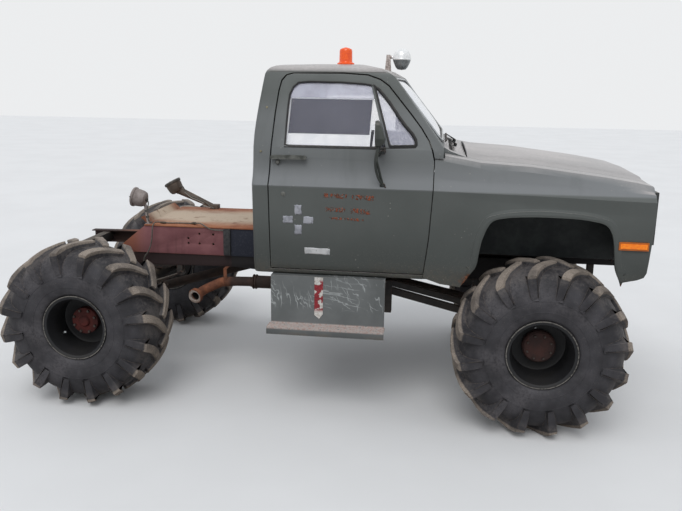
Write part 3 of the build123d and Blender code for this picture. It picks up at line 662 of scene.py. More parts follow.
def close_slab(bm, near, far, index=0):
    """Two matching outlines and the edge between them."""
    faces = [bm.faces.new(near), bm.faces.new(list(reversed(far)))]
    for i in range(len(near)):
        j = (i + 1) % len(near)
        faces.append(bm.faces.new((near[j], near[i], far[i], far[j])))
    for face in faces:
        face.material_index = index


def close_block(bm, corners, index=0):
    """The six faces on eight corners, in x, y and z order."""
    for ids in ((0, 1, 3, 2), (4, 6, 7, 5), (0, 4, 5, 1), (2, 3, 7, 6), (0, 2, 6, 4), (1, 5, 7, 3)):
        bm.faces.new([corners[i] for i in ids]).material_index = index


def add_revolved(bm, profile, segments, axis="Y", closed=True):
    """Turns a profile of (radius, along the axis) round the axis."""
    rings = []
    for k in range(segments):
        a = 2 * pi * k / segments
        ring = []
        for r, w in profile:
            spot = (r * sin(a), w, r * cos(a)) if axis == "Y" else (r * sin(a), r * cos(a), w)
            ring.append(bm.verts.new(spot))
        rings.append(ring)
    join_rows(bm, rings + rings[:1], closed)


def add_box(bm, low, high, index=0, turn=None, about=None):
    """A closed block between two corners. Its edges are rounded where its piece gets a bevel."""
    corners = []
    for x in (low[0], high[0]):
        for y in (low[1], high[1]):
            for z in (low[2], high[2]):
                spot = Vector((x, y, z))
                if turn:
                    spot = Vector(about) + turn @ (spot - Vector(about))
                corners.append(bm.verts.new(spot))
    close_block(bm, corners, index)


def add_plate(bm, outline, y_near, y_far):
    """A flat plate with an outline in x and z."""
    near = [bm.verts.new((x, y_near, z)) for x, z in outline]
    far = [bm.verts.new((x, y_far, z)) for x, z in outline]
    close_slab(bm, near, far)


def add_rod(bm, start, end, radius, sides=16, index=0, end_radius=None):
    """A straight round bar, with rounded-off closed ends."""
    start, end = Vector(start), Vector(end)
    line = (end - start).normalized()
    side = line.orthogonal().normalized()
    other = line.cross(side)
    end_radius = radius if end_radius is None else end_radius
    length = (end - start).length
    chamfer = min(radius, end_radius, length) * 0.18
    rings = []
    for along, r in ((0, radius - chamfer), (chamfer, radius), (length - chamfer, end_radius),
                     (length, end_radius - chamfer)):
        ring = []
        for k in range(sides):
            a = 2 * pi * k / sides
            ring.append(bm.verts.new(start + line * along + (side * cos(a) + other * sin(a)) * r))
        rings.append(ring)
    join_rows(bm, rings, True, index)
    bm.faces.new(list(reversed(rings[0]))).material_index = index
    bm.faces.new(rings[-1]).material_index = index


def add_nut(bm, centre, radius, thick, axis="Y", outward=-1, index=0):
    """A hexagon nut with a domed washer face, standing out along its axis."""
    base = Vector(centre)
    way = {"X": Vector((1, 0, 0)), "Y": Vector((0, 1, 0)), "Z": Vector((0, 0, 1))}[axis] * outward
    side = way.orthogonal().normalized()
    other = way.cross(side)
    rings = []
    for lift, r in ((0, radius), (thick * 0.75, radius), (thick, radius * 0.8)):
        rings.append([bm.verts.new(base + way * lift + (side * cos(pi * k / 3) + other * sin(pi * k / 3)) * r)
                      for k in range(6)])
    join_rows(bm, rings, True, index)
    bm.faces.new(rings[-1]).material_index = index
    bm.faces.new(list(reversed(rings[0]))).material_index = index


def round_off(piece, width, segments=2, degrees=30):
    """Rounds the piece's sharp edges."""
    bevel = piece.modifiers.new("rounded_edges", "BEVEL")
    bevel.width = width
    bevel.segments = segments
    bevel.limit_method = "ANGLE"
    bevel.angle_limit = radians(degrees)
    bevel.use_clamp_overlap = True


def line_piece(name, points, radius, body, material, closed=False):
    """A round seal or wire through the points: smooth where it is open, straight runs where it is closed."""
    curve = bpy.data.curves.new(name, "CURVE")
    curve.dimensions = "3D"
    curve.bevel_depth = radius
    curve.bevel_resolution = 2
    curve.resolution_u = 6
    curve.use_fill_caps = True
    spline = curve.splines.new("POLY" if closed else "BEZIER")
    if closed:
        spline.points.add(len(points) - 1)
        for spot, point in zip(spline.points, points):
            spot.co = (*point, 1)
    else:
        spline.bezier_points.add(len(points) - 1)
        for spot, point in zip(spline.bezier_points, points):
            spot.co = point
            spot.handle_left_type = spot.handle_right_type = "AUTO"
    spline.use_cyclic_u = closed
    curve.materials.append(material)
    piece = stood(name, curve)
    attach(piece, body)


# Camera: at the right side, ahead of the cab, looking across the truck
CAMERA_AT = Vector((0.83, -5.822, 2.277))
YAW, PITCH, ROLL = radians(-7.32), radians(12.98), radians(0.9)
FOCAL_PIXELS, FRAME_WIDE = 739.6, 682
SENSOR = 36.0


def put_camera():
    """The camera that took the picture, as it was solved from the truck's own points."""
    look = Vector((sin(YAW) * cos(PITCH), cos(YAW) * cos(PITCH), -sin(PITCH)))
    level = Vector((cos(YAW), -sin(YAW), 0))
    up = level.cross(look)
    right = cos(ROLL) * level + sin(ROLL) * up
    up = -sin(ROLL) * level + cos(ROLL) * up
    data = bpy.data.cameras.new("photo_camera")
    data.sensor_width = SENSOR
    data.sensor_fit = "HORIZONTAL"
    data.lens = FOCAL_PIXELS / FRAME_WIDE * SENSOR
    camera = stood("photo_camera", data)
    turn = Matrix((right, up, -look)).transposed().to_4x4()
    camera.matrix_world = Matrix.Translation(CAMERA_AT) @ turn
    bpy.context.scene.camera = camera


def looking_rays(tree):
    """1 for rays from the camera, off metal or through glass, 0 for the light that the place throws back."""
    path = tree.nodes.new("ShaderNodeLightPath")
    total = path.outputs["Is Camera Ray"]
    for ray in ("Is Glossy Ray", "Is Transmission Ray"):
        either = tree.nodes.new("ShaderNodeMath")
        either.operation = "MAXIMUM"
        tree.links.new(total, either.inputs[0])
        tree.links.new(path.outputs[ray], either.inputs[1])
        total = either.outputs[0]
    return total


def put_studio():
    """A pale floor and an overcast sky: light from all of the top half, a little from one side."""
    scene = bpy.context.scene
    scene.view_settings.view_transform = "Standard"
    world = bpy.data.worlds.new("studio")
    scene.world = world
    world.use_nodes = True
    tree = world.node_tree
    sky = tree.nodes["Background"]
    sky.inputs[0].default_value = (0.93, 0.96, 1.0, 1)
    sky.inputs[1].default_value = 0.8
    backdrop = tree.nodes.new("ShaderNodeBackground")
    backdrop.inputs[0].default_value = (0.84, 0.85, 0.86, 1)
    mixer = tree.nodes.new("ShaderNodeMixShader")
    tree.links.new(looking_rays(tree), mixer.inputs[0])
    tree.links.new(sky.outputs[0], mixer.inputs[1])
    tree.links.new(backdrop.outputs[0], mixer.inputs[2])
    tree.links.new(mixer.outputs[0], tree.nodes["World Output"].inputs[0])
    sun = bpy.data.lights.new("soft_key", "SUN")
    sun.energy = 1.0
    sun.angle = radians(35)
    stood("soft_key", sun).rotation_euler = (radians(38), radians(8), radians(-15))
    bm = bmesh.new()
    bmesh.ops.create_grid(bm, x_segments=1, y_segments=1, size=40)
    mesh = bpy.data.meshes.new("floor")
    bm.to_mesh(mesh)
    bm.free()
    f = Finish("floor_pale", Roughness=0.9, Specular_IOR_Level=0.1)
    pale = f.mix(f.noise(0.8, 3).rises(0.3, 0.7), (0.755, 0.755, 0.755, 1), (0.785, 0.785, 0.785, 1))
    f.paint(Base_Color=f.mix(Value(f, looking_rays(f.tree)), (0.2, 0.18, 0.16, 1), pale))
    mesh.materials.append(f.material)
    stood("floor", mesh)


put_camera()
put_studio()

# Tyres: one mesh for all four, drawn round its own centre, with curved lugs in two rows

LUGS = 16
LUG_CORNER = 9  # from this station on, a lug lies on the sidewall
LUG_SINK = 0.012
LUG_FLARE = 1.15
LUG_EDGE_DROP = 0.0032
SHOULDER_R = 0.57
CARCASS_HALF = [
    (0.214, 0.206), (0.236, 0.209), (0.242, 0.222), (0.252, 0.23), (0.275, 0.235), (0.318, 0.24),
    (0.352, 0.2415), (0.392, 0.2385), (0.43, 0.229), (0.464, 0.214), (0.494, 0.192),
    (0.518, 0.164), (0.535, 0.128), (0.546, 0.085), (0.551, 0.042), (0.553, 0.0),
]
# Stations along a lug from the centre to the sidewall: distance from the middle of the tyre,
# radius of its top, turn ahead of the shoulder in metres round the tyre, half width at the top
LUG_LINE = [
    (-0.02, 0.5865, 0.176, 0.02), (0.01, 0.5875, 0.158, 0.0235), (0.045, 0.5875, 0.128, 0.0245),
    (0.082, 0.5865, 0.096, 0.0255), (0.12, 0.5835, 0.067, 0.0262), (0.158, 0.5785, 0.042, 0.027),
    (0.195, 0.57, 0.022, 0.028), (0.228, 0.5575, 0.007, 0.0295), (0.2455, 0.546, 0.001, 0.03),
    (0.249, 0.525, -0.001, 0.031), (0.249, 0.49, -0.002, 0.0325), (0.2485, 0.45, -0.003, 0.033),
    (0.247, 0.415, -0.004, 0.032), (0.2425, 0.388, -0.005, 0.029),
]


def carcass_radius_at(w):
    """The carcass's radius at a distance from the middle of the tyre."""
    crown = CARCASS_HALF[7:]
    w = abs(w)
    for (r0, w0), (r1, w1) in zip(crown, crown[1:]):
        if w1 <= w <= w0:
            return r0 + (r1 - r0) * (w0 - w) / (w0 - w1)
    return crown[0][0]


def add_lug(bm, around, side, chance):
    """One bar: its top follows the line, its flanks lean out and sink into the carcass."""
    tops, feet = [], []
    for i, (w, r, ahead, half) in enumerate(LUG_LINE):
        beyond = LUG_LINE[min(i + 1, len(LUG_LINE) - 1)]
        before = LUG_LINE[max(i - 1, 0)]
        run_w, run_a = beyond[0] - before[0], beyond[2] - before[2]
        run_r = beyond[1] - before[1]
        length = sqrt(run_w ** 2 + run_a ** 2 + run_r ** 2)
        across = sqrt(run_w ** 2 + run_r ** 2) / length
        wear = chance.uniform(-0.0012, 0.0006)
        on_side = i >= LUG_CORNER
        foot_w = value_at(CARCASS_HALF, r) - LUG_SINK if on_side else w

        def lug_point(edge_shift, spot_w, spot_r=None):
            spot_w -= edge_shift * run_a / length * (0.0 if on_side else 1.0)
            if spot_r is None:
                spot_r = r if on_side else carcass_radius_at(spot_w) - LUG_SINK
            angle = around + (ahead + edge_shift * across) / SHOULDER_R
            return bm.verts.new((spot_r * sin(angle), side * spot_w, spot_r * cos(angle)))

        section = []
        for edge in (-1, -0.91, 0.91, 1):
            drop = LUG_EDGE_DROP if abs(edge) == 1 else 0.0
            spot_w, spot_r = (w - drop * 0.8, r) if on_side else (w, r - drop + wear)
            section.append(lug_point(edge * half, spot_w, spot_r))
        tops.append(section)
        feet.append([lug_point(edge * half * LUG_FLARE, foot_w) for edge in (-1, 1)])
    rows = [[foot[0], *top, foot[1]] for foot, top in zip(feet, tops)]
    for i in range(len(rows) - 1):
        join_rows(bm, rows[i:i + 2])
        bm.faces.new((feet[i][1], feet[i + 1][1], feet[i + 1][0], feet[i][0]))
    for row in (rows[0], rows[-1]):
        bm.faces.new(row)


def make_tyres():
    """The carcass with its sidewall rings and two rows of lugs."""
    bm = bmesh.new()
    outer = CARCASS_HALF + [(r, -w) for r, w in reversed(CARCASS_HALF[:-1])]
    inner = [(0.24, -0.19), (0.4, -0.222), (0.5, -0.15), (0.525, 0.0), (0.5, 0.15),
             (0.4, 0.222), (0.24, 0.19)]
    add_revolved(bm, outer + inner, 128)
    for r, w in ((0.298, 0.2385), (0.372, 0.241)):
        for side in (-1, 1):
            ring = [(r - 0.005, side * (w - 0.003)), (r - 0.002, side * (w + 0.0008)),
                    (r + 0.002, side * (w + 0.0008)), (r + 0.005, side * (w - 0.003))]
            add_revolved(bm, ring, 128)
    chance = random.Random(4)
    for k in range(LUGS):
        add_lug(bm, 2 * pi * k / LUGS, 1, chance)
        add_lug(bm, 2 * pi * (k + 0.5) / LUGS, -1, chance)
    mesh = finished_mesh("bar_lug_tyre", bm)
    for corner, x, outward in CORNERS:
        piece = mesh_object("tyre_tread_" + corner, mesh, "wheel_" + corner, rubber,
                            smooth=32, at=(x, outward * WHEEL_MID, AXLE_Z))
        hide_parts("tyre_" + corner)


RIM_PROFILE = [
    (0.2318, 0.2225), (0.2325, 0.219), (0.2318, 0.2148), (0.211, 0.211), (0.2075, 0.196),
    (0.204, 0.152), (0.19, 0.12), (0.19, -0.12), (0.204, -0.152), (0.2075, -0.196),
    (0.211, -0.211), (0.2318, -0.2148), (0.2325, -0.219), (0.2318, -0.2225), (0.227, -0.2228),
    (0.2085, -0.215), (0.202, -0.198), (0.1985, -0.152), (0.1835, -0.122), (0.183, -0.026),
    (0.13, -0.02), (0.078, -0.016), (0.078, -0.058), (0.036, -0.058), (0.036, 0.002),
    (0.064, 0.006), (0.078, -0.0035), (0.13, -0.008), (0.17, -0.011), (0.183, -0.006),
    (0.1835, 0.122), (0.1985, 0.152), (0.202, 0.198), (0.2085, 0.215), (0.227, 0.2228),
]
NUTS = 8
NUT_CIRCLE = 0.0825


def make_rims():
    """Rim dishes, hubs with their nuts, and valves."""
    bm = bmesh.new()
    add_revolved(bm, RIM_PROFILE, 96)
    mesh = finished_mesh("deep_rim", bm)
    for corner, x, outward in CORNERS:
        centre = (x, outward * WHEEL_MID, AXLE_Z)
        turn = 0.0 if outward > 0 else pi
        rim = mesh_object("rim_dish_" + corner, mesh, "wheel_" + corner, rim_black,
                          smooth=30, at=centre, turn=turn)
        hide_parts("rim_" + corner)
        rear = corner.startswith("rear")
        hub_r = 0.098 if rear else 0.112
        bm = bmesh.new()
        face = 0.06
        cap = [(0.0005, face + 0.018), (0.03, face + 0.018), (0.038, face + 0.01), (0.04, face),
               (hub_r - 0.01, face), (hub_r - 0.002, face - 0.004), (hub_r, face - 0.012),
               (hub_r, 0.012), (0.07, 0.006), (0.0005, 0.006)]
        if not rear:
            cap = [(0.0005, face + 0.006), (hub_r - 0.014, face + 0.002), (hub_r - 0.004, face - 0.006),
                   (hub_r, face - 0.016), (hub_r, 0.012), (0.07, 0.006), (0.0005, 0.006)]
        add_revolved(bm, cap, 48, closed=False)
        bmesh.ops.remove_doubles(bm, verts=bm.verts, dist=0.0012)
        finish = hub_red if rear else hub_brown
        for k in range(NUTS):
            a = 2 * pi * (k + 0.5) / NUTS
            spot = (NUT_CIRCLE * sin(a), face, NUT_CIRCLE * cos(a))
            add_nut(bm, spot, 0.0105 if rear else 0.0085, 0.013, "Y", 1, 1)
        mesh_object("hub_" + corner, finished_mesh("hub_" + corner, bm), "wheel_" + corner,
                    [finish, nut_steel], at=centre, turn=turn)
        bm = bmesh.new()
        a = radians(240) if rear else radians(-15)
        spot = Vector((0.19 * sin(a), outward * 0.075, 0.19 * cos(a))) + Vector(centre)
        inward = Vector((-sin(a), outward * 0.8, -cos(a)))
        add_rod(bm, spot, spot + inward * 0.03, 0.006, 12)
        add_rod(bm, spot + inward * 0.03, spot + inward * 0.038, 0.0085, 12)
        mesh_piece("valve_" + corner, bm, "wheel_" + corner, trim_silver)


# CAD pieces: their own shapes, with softened edges and real finishes


def joined_edges():
    """Node group that joins split vertices and clears the imported shading marks."""
    group = bpy.data.node_groups.get("joined_edges")
    if group:
        return group
    group = bpy.data.node_groups.new("joined_edges", "GeometryNodeTree")
    group.interface.new_socket("Geometry", in_out="INPUT", socket_type="NodeSocketGeometry")
    group.interface.new_socket("Geometry", in_out="OUTPUT", socket_type="NodeSocketGeometry")
    entry = group.nodes.new("NodeGroupInput")
    last = group.nodes.new("GeometryNodeMergeByDistance")
    last.inputs["Distance"].default_value = 0.00005
    group.links.new(entry.outputs[0], last.inputs[0])
    for mark in ("custom_normal", "sharp_edge", "sharp_face"):
        cleared = group.nodes.new("GeometryNodeRemoveAttribute")
        cleared.inputs["Name"].default_value = mark
        group.links.new(last.outputs[0], cleared.inputs[0])
        last = cleared
    smooth = group.nodes.new("GeometryNodeSetShadeSmooth")
    group.links.new(last.outputs[0], smooth.inputs[0])
    leave = group.nodes.new("NodeGroupOutput")
    group.links.new(smooth.outputs[0], leave.inputs[0])
    return group


def dress(node, material, width=0.004, segments=2, crease=24, sharp=28):
    """Gives a CAD piece its finish and rounds the edges that turn more than crease degrees."""
    piece = nodes[node]
    for slot in piece.material_slots:
        slot.link = "OBJECT"
        slot.material = material
    join = piece.modifiers.new("joined_edges", "NODES")
    join.node_group = joined_edges()
    clear = piece.modifiers.new("flat_faces", "DECIMATE")
    clear.decimate_type = "DISSOLVE"
    clear.angle_limit = radians(0.8)
    if width:
        round_off(piece, width, segments, sharp)
    sharpen(piece, crease)


def make_cad_finishes():
    """The finish of every CAD piece that stays."""
    for name, side in SIDES:
        dress("door_" + name, door_paint, 0.0045, 3, 20)
        dress("door_glass_" + name, side_glass, 0.0)
        dress("mirror_" + name, mirror_paint, 0.004, 3, 40)
        dress("frame_rail_" + name, primer, 0.003)
        dress("knuckle_" + name, steel, 0.003)
    dress("cab_shell", cab_paint, 0.005, 3, 20)
    dress("front_fenders", fender_paint, 0.006, 3, 20)
    dress("hood", olive, 0.008, 3, 20)
    dress("inner_fenders", black_paint, 0.003)
    dress("side_steps", step_paint, 0.0025)
    dress("grille", grille_grey, 0.0015, 1)
    dress("radiator", black_paint, 0.003)
    dress("crossmembers", steel, 0.003)
    dress("rear_deck", deck_rust, 0.0015)
    dress("front_axle", oily, 0.004)
    dress("rear_axle", oily, 0.004)
    dress("tie_rod", steel, 0.003)
    dress("traction_bars", steel, 0.003)
    dress("shock_absorbers", shaft_rust, 0.002)
    dress("powertrain", oily, 0.012, 3)
    dress("driveshafts", shaft_rust, 0.002)
    dress("exhaust_pipes", pipe_rust, 0.002)
    dress("dashboard", dark_plastic, 0.014, 3)
    dress("steering_wheel", dark_plastic, 0.003)
    dress("roof_beacon", beacon_orange, 0.0015, 2, 40)
    dress("roof_spotlight", spot_chrome, 0.0015, 2, 35)
    dress("work_lamps", lamp_shades, 0.002, 2, 35)


# Half width of the doors at a height, for what lies on them
SKIN = [
    (1.0, 0.95), (1.085, 0.972), (1.335, 0.992), (1.604, 1.008), (1.618, 1.011), (1.664, 0.99),
    (1.694, 0.978), (1.73, 0.97), (1.79, 0.962), (1.868, 0.955), (2.305, 0.79), (2.334, 0.779),
]
GLASS_FOOT, GLASS_HALF, GLASS_LEAN = 1.88, 0.935, 0.379
PATCH_LIFT = 0.0009


def on_skin(side, x, z, lift=0.0):
    """A place on the outside of a door."""
    return Vector((x_at(x), side * (value_at(SKIN, z) + lift), z))


def behind_glass(x, z, inwards):
    """A place inside the right door's glass."""
    return Vector((x_at(x), -(GLASS_HALF - (z - GLASS_FOOT) * GLASS_LEAN - inwards), z))


def add_patch(bm, corners, rough, chance):
    """A thin sheet on the right door's skin between four corners (x, z), with a slightly uneven edge."""
    steps = 6
    rows = []
    (ax, az), (bx, bz), (cx, cz), (dx, dz) = corners
    for i in range(steps + 1):
        u = i / steps
        row = []
        for j in range(steps + 1):
            v = j / steps
            x = (1 - v) * ((1 - u) * ax + u * bx) + v * ((1 - u) * dx + u * cx)
            z = (1 - v) * ((1 - u) * az + u * bz) + v * ((1 - u) * dz + u * cz)
            if i in (0, steps) or j in (0, steps):
                x += chance.uniform(-rough, rough)
                z += chance.uniform(-rough, rough)
            row.append(bm.verts.new(on_skin(-1, x, z, PATCH_LIFT)))
        rows.append(row)
    join_rows(bm, rows)


def thicken(piece, thick):
    """Gives a thin sheet its thickness."""
    shell = piece.modifiers.new("sheet_thickness", "SOLIDIFY")
    shell.thickness = thick
    shell.offset = 0


DOOR_WINDOW = [
    (-1.746, 1.882), (-1.746, 2.03), (-1.743, 2.143), (-1.737, 2.213), (-1.717, 2.262), (-1.684, 2.292),
    (-1.611, 2.3), (-1.398, 2.3), (-1.247, 2.292), (-1.187, 2.284), (-1.134, 2.256), (-1.068, 2.184),
    (-0.943, 2.032), (-0.885, 1.962), (-0.864, 1.925), (-0.86, 1.901), (-0.873, 1.882), (-1.041, 1.874),
    (-1.703, 1.872),
]
BAR_TOP, BAR_FOOT = (-1.179, 2.29), (-1.048, 1.876)


def window_line(points, inwards, depth, side):
    """The window's outline moved towards its middle, a little under the skin."""
    cx = sum(x for x, z in points) / len(points)
    cz = sum(z for x, z in points) / len(points)
    line = []
    for x, z in points:
        reach = sqrt((x - cx) ** 2 + (z - cz) ** 2)
        line.append(on_skin(side, x + (cx - x) * inwards / reach, z + (cz - z) * inwards / reach, -depth))
    return line


def make_door_windows():
    """Seals round the door glass and the vent, the bar between them, and the belt wiper."""
    for name, side in SIDES:
        body = "door_" + name
        line_piece("window_seal_" + name, window_line(DOOR_WINDOW, 0.004, 0.007, side), 0.0075, body,
                   weather_rubber, closed=True)
        vent = [p for p in DOOR_WINDOW if p[0] > -1.16]
        vent = [BAR_TOP] + [p for p in vent if p != (-1.041, 1.874)] + [BAR_FOOT]
        line_piece("vent_seal_" + name, window_line(vent, 0.014, 0.007, side), 0.012, body,
                   weather_rubber, closed=True)
        bm = bmesh.new()
        ends = []
        for x, z in ((-1.1745, 2.282), (-1.0475, 1.88)):
            row = []
            for across in (0.004, 0.0145):
                for depth in (0.0012, -0.018):
                    row.append(bm.verts.new(on_skin(side, x + across, z, depth)))
            ends.append(row)
        top, foot = ends
        for a, b in ((0, 1), (1, 3), (3, 2), (2, 0)):
            bm.faces.new((top[a], top[b], foot[b], foot[a]))
        bm.faces.new((top[0], top[2], top[3], top[1]))
        bm.faces.new((foot[0], foot[1], foot[3], foot[2]))
        bar = mesh_piece("division_seal_" + name, bm, body, weather_rubber)
        round_off(bar, 0.0015)
        belt = [on_skin(side, x, 1.8705, -0.002) for x in (-1.745, -1.4, -1.065)]
        line_piece("belt_wiper_" + name, belt, 0.0045, body, weather_rubber)


def make_door_parts():
    """Pull handle with its button, lock, mirror glass, and the mirror's clamps and arm."""
    for name, side in SIDES:
        body = "door_" + name
        bm = bmesh.new()
        grip = [(-1.829, 1.793), (-1.829, 1.812), (-1.82, 1.818), (-1.7, 1.821), (-1.6, 1.819),
                (-1.588, 1.812), (-1.588, 1.8), (-1.6, 1.793)]
        add_plate(bm, [(x_at(x), z) for x, z in grip], side * 0.9835, side * 1.0045)
        for rear, front in ((-1.825, -1.793), (-1.627, -1.597)):
            foot = [(rear, 1.796), (rear, 1.815), (front, 1.815), (front, 1.796)]
            add_plate(bm, [(x_at(x), z) for x, z in foot], side * 0.955, side * 0.992)
        grip_piece = mesh_piece("handle_grip_" + name, bm, body, handle_worn)
        round_off(grip_piece, 0.004, 3, 40)
        bm = bmesh.new()
        spot = on_skin(side, -1.784, 1.771, -0.004)
        add_rod(bm, spot, spot + Vector((0, side * 0.02, 0)), 0.0165, 24)
        add_rod(bm, spot, spot + Vector((0, side * 0.026, 0)), 0.0115, 24, 1)
        lock = on_skin(side, -1.742, 1.561, -0.003)
        add_rod(bm, lock, lock + Vector((0, side * 0.0055, 0)), 0.016, 24, 1)
        add_rod(bm, lock, lock + Vector((0, side * 0.0085, 0)), 0.009, 20, 0)
        mesh_piece("button_and_lock_" + name, bm, body, [handle_worn, trim_dull])
        bm = bmesh.new()
        mirror = [(-1.047, 1.93), (-1.043, 2.03), (-1.06, 2.054), (-1.136, 2.055), (-1.156, 2.032),
                  (-1.151, 1.952), (-1.126, 1.913), (-1.096, 1.902), (-1.062, 1.909)]
        near, far = ([bm.verts.new((x_at(x), -side * y, z)) for y, z in mirror] for x in (-1.1238, -1.1225))
        close_slab(bm, near, far)
        mesh_piece("mirror_glass_" + name, bm, body, mirror_silver)
        bm = bmesh.new()
        clamp = spot_at(-1.082, side * 1.0, 1.856)
        add_box(bm, clamp - Vector((0.022, 0.05, 0.01)), clamp + Vector((0.016, 0.014, 0.013)))
        brace = clamp + Vector((-0.03, -0.03 * side, -0.028))
        add_rod(bm, brace, clamp + Vector((0.01, 0, 0.02)), 0.008, 14)
        collar = clamp + Vector((-0.026, 0.092 * side, 0.004))
        add_rod(bm, collar, clamp + Vector((-0.026, 0.092 * side, 0.04)), 0.0135, 18)
        add_nut(bm, clamp + Vector((0.012, 0.01 * side, 0.004)), 0.01, 0.009, "Y", side)
        foot = on_skin(side, -1.078, 1.64, -0.004)
        add_rod(bm, foot, foot + Vector((0, side * 0.012, -0.004)), 0.019, 22)
        add_nut(bm, foot + Vector((0.018, side * 0.01, -0.01)), 0.006, 0.005, "Y", side)
        clamps = mesh_piece("mirror_clamps_" + name, bm, body, black_paint)
        round_off(clamps, 0.002)
        arm = [(-1.078, side * 1.004, 1.64), (-1.108, side * 1.05, 1.705), (-1.121, side * 1.09, 1.79),
               (-1.116, side * 1.098, 1.85), (-1.104, side * 1.1, 1.908)]
        line_piece("mirror_arm_" + name, route(arm), 0.0088, body, arm_olive)


def make_door_marks():
    """Worn tape squares, a blank strip and faint worn bars of paint on the right door."""
    chance = random.Random(9)
    bm = bmesh.new()
    cx, cz, gap_x, gap_z = -1.641, 1.388, 0.07, 0.0685
    for dx, dz in ((-gap_x, 0), (gap_x, 0), (0, -gap_z), (0, gap_z)):
        wide, high = (0.033, 0.025) if dx else (0.024, 0.034)
        x, z = cx + dx, cz + dz
        low, top = z - high, z + high
        corners = [(x - wide, low), (x + wide, z - high * 0.92), (x + wide, top), (x - wide, top)]
        add_patch(bm, corners, 0.0025, chance)
    tape = mesh_piece("tape_cross", bm, "door_right", white_tape)
    thicken(tape, 0.0006)
    bm = bmesh.new()
    add_patch(bm, [(-1.598, 1.153), (-1.424, 1.151), (-1.423, 1.195), (-1.599, 1.197)], 0.0015, chance)
    strip = mesh_piece("tape_strip", bm, "door_right", strip_tape)
    thicken(strip, 0.0006)
    bm = bmesh.new()
    rows = ((-1.473, -1.312, 1.548, 1.578), (-1.279, -1.126, 1.54, 1.572), (-1.452, -1.324, 1.454, 1.484),
            (-1.29, -1.156, 1.446, 1.48), (-1.438, -1.195, 1.4, 1.416))
    for x0, x1, z0, z1 in rows:
        drop = 0.01 * (x1 - x0) / 0.16
        add_patch(bm, [(x0, z0), (x1, z0 - drop * 0.4), (x1, z1 - drop * 0.4), (x0, z1)], 0.003, chance)
    bars = mesh_piece("worn_paint_bars", bm, "door_right", orange_paint)
    thicken(bars, 0.0004)


def make_window_card():
    """A blank card that leans on the right door's glass, inside."""
    bm = bmesh.new()

    def add_card(x0, x1, z0, z1, front, back, index, slant=0.0):
        corners = ((x0 - slant, z0), (x1 - slant, z0), (x1, z1), (x0, z1))
        near = [bm.verts.new(behind_glass(x, z, front)) for x, z in corners]
        far = [bm.verts.new(behind_glass(x, z, back)) for x, z in corners]
        close_slab(bm, near, far, index)

    add_card(-1.732, -1.164, 1.884, 2.194, 0.0115, 0.0135, 0, 0.012)
    add_card(-1.722, -1.174, 1.958, 2.184, 0.0105, 0.0116, 1, 0.008)
    add_card(-1.15, -1.128, 1.886, 1.996, 0.0115, 0.0125, 0, 0.01)
    add_card(-1.122, -1.098, 1.888, 1.966, 0.0115, 0.0125, 0, 0.008)
    mesh_piece("window_card", bm, "door_right", [sign_white, sign_card])


GLASS_RUN, GLASS_WIDE, GLASS_BOW = 0.517, 0.683, 0.028


def on_windshield(y, up, out=0.0):
    """A place on the flat of the windshield: across, up from its foot along the slope, and out of it."""
    return Vector((x_at(FOOT_X + RUN_X * up + RUN_Z * out), y, FOOT_Z + RUN_Z * up - RUN_X * out))


def add_pane(bm, outer, inner):
    """A closed pane between two grids of the same size."""
    sheets = []
    for grid in (outer, inner):
        sheet = [[bm.verts.new(spot) for spot in row] for row in grid]
        join_rows(bm, sheet)
        sheets.append(sheet)
    rims = []
    for sheet in sheets:
        ends, starts = [row[-1] for row in sheet[1:-1]], [row[0] for row in sheet[-2:0:-1]]
        rims.append(sheet[0] + ends + sheet[-1][::-1] + starts)
    join_rows(bm, rims, True)


def make_cab_windows():
    """The windshield, bowed out in its middle, and the bent rear window."""
    bm = bmesh.new()
    outer, inner = [], []
    for i in range(25):
        across = i / 12 - 1
        for grid, back in ((outer, 0.0), (inner, 0.006)):
            row = []
            for j in range(13):
                v = j / 12
                bow = GLASS_BOW * (1 - across ** 2) * (1 - abs(2 * v - 1) ** 5)
                row.append(on_windshield(across * GLASS_WIDE, v * GLASS_RUN, bow - back))
            grid.append(row)
    add_pane(bm, outer, inner)
    outer, inner = [], []
    for y in (-0.634, 0.634):
        outer.append([spot_at(x, y, z) for x, z in ((-1.946, 1.906), (-1.93, 2.09), (-1.914, 2.234))])
        inner.append([spot_at(x, y, z) for x, z in ((-1.938, 1.906), (-1.922, 2.09), (-1.906, 2.234))])
    add_pane(bm, outer, inner)
    panes = mesh_piece("cab_window_panes", bm, "chassis", front_glass)
    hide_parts("cab_windows")


def make_windshield_trim():
    """Bright trim and rubber round the windshield, rubber round the rear window."""
    def loop(grow, lift, steps=6):
        line = []
        corner = 0.055
        for end_y, end_v, degrees in ((-1, 0, 270), (-1, 1, 180), (1, 1, 90), (1, 0, 0)):
            wide = GLASS_WIDE + grow
            up = -grow if end_v == 0 else GLASS_RUN + grow
            turn = radians(degrees)
            for k in range(steps + 1):
                a = turn - pi / 2 * k / steps
                y = end_y * (wide - corner) + corner * cos(a)
                v = up + (corner if end_v == 0 else -corner) + corner * sin(a)
                line.append(on_windshield(y, v, lift))
        return line

    line_piece("windshield_rubber", loop(-0.002, 0.001), 0.0085, "chassis", weather_rubber,
               closed=True)
    line_piece("windshield_trim", loop(0.0085, 0.007), 0.009, "chassis", trim_silver,
               closed=True)
    rear = []
    for y, z in ((-0.6, 1.9), (0.6, 1.9), (0.636, 1.934), (0.636, 2.204), (0.6, 2.24),
                 (-0.6, 2.24), (-0.636, 2.204), (-0.636, 1.934)):
        lean = max(0.0, z - REAR_BEND) * REAR_LEAN
        rear.append((x_at(-1.957 + lean), y, z))
    line_piece("rear_window_rubber", rear, 0.011, "chassis", weather_rubber, closed=True)


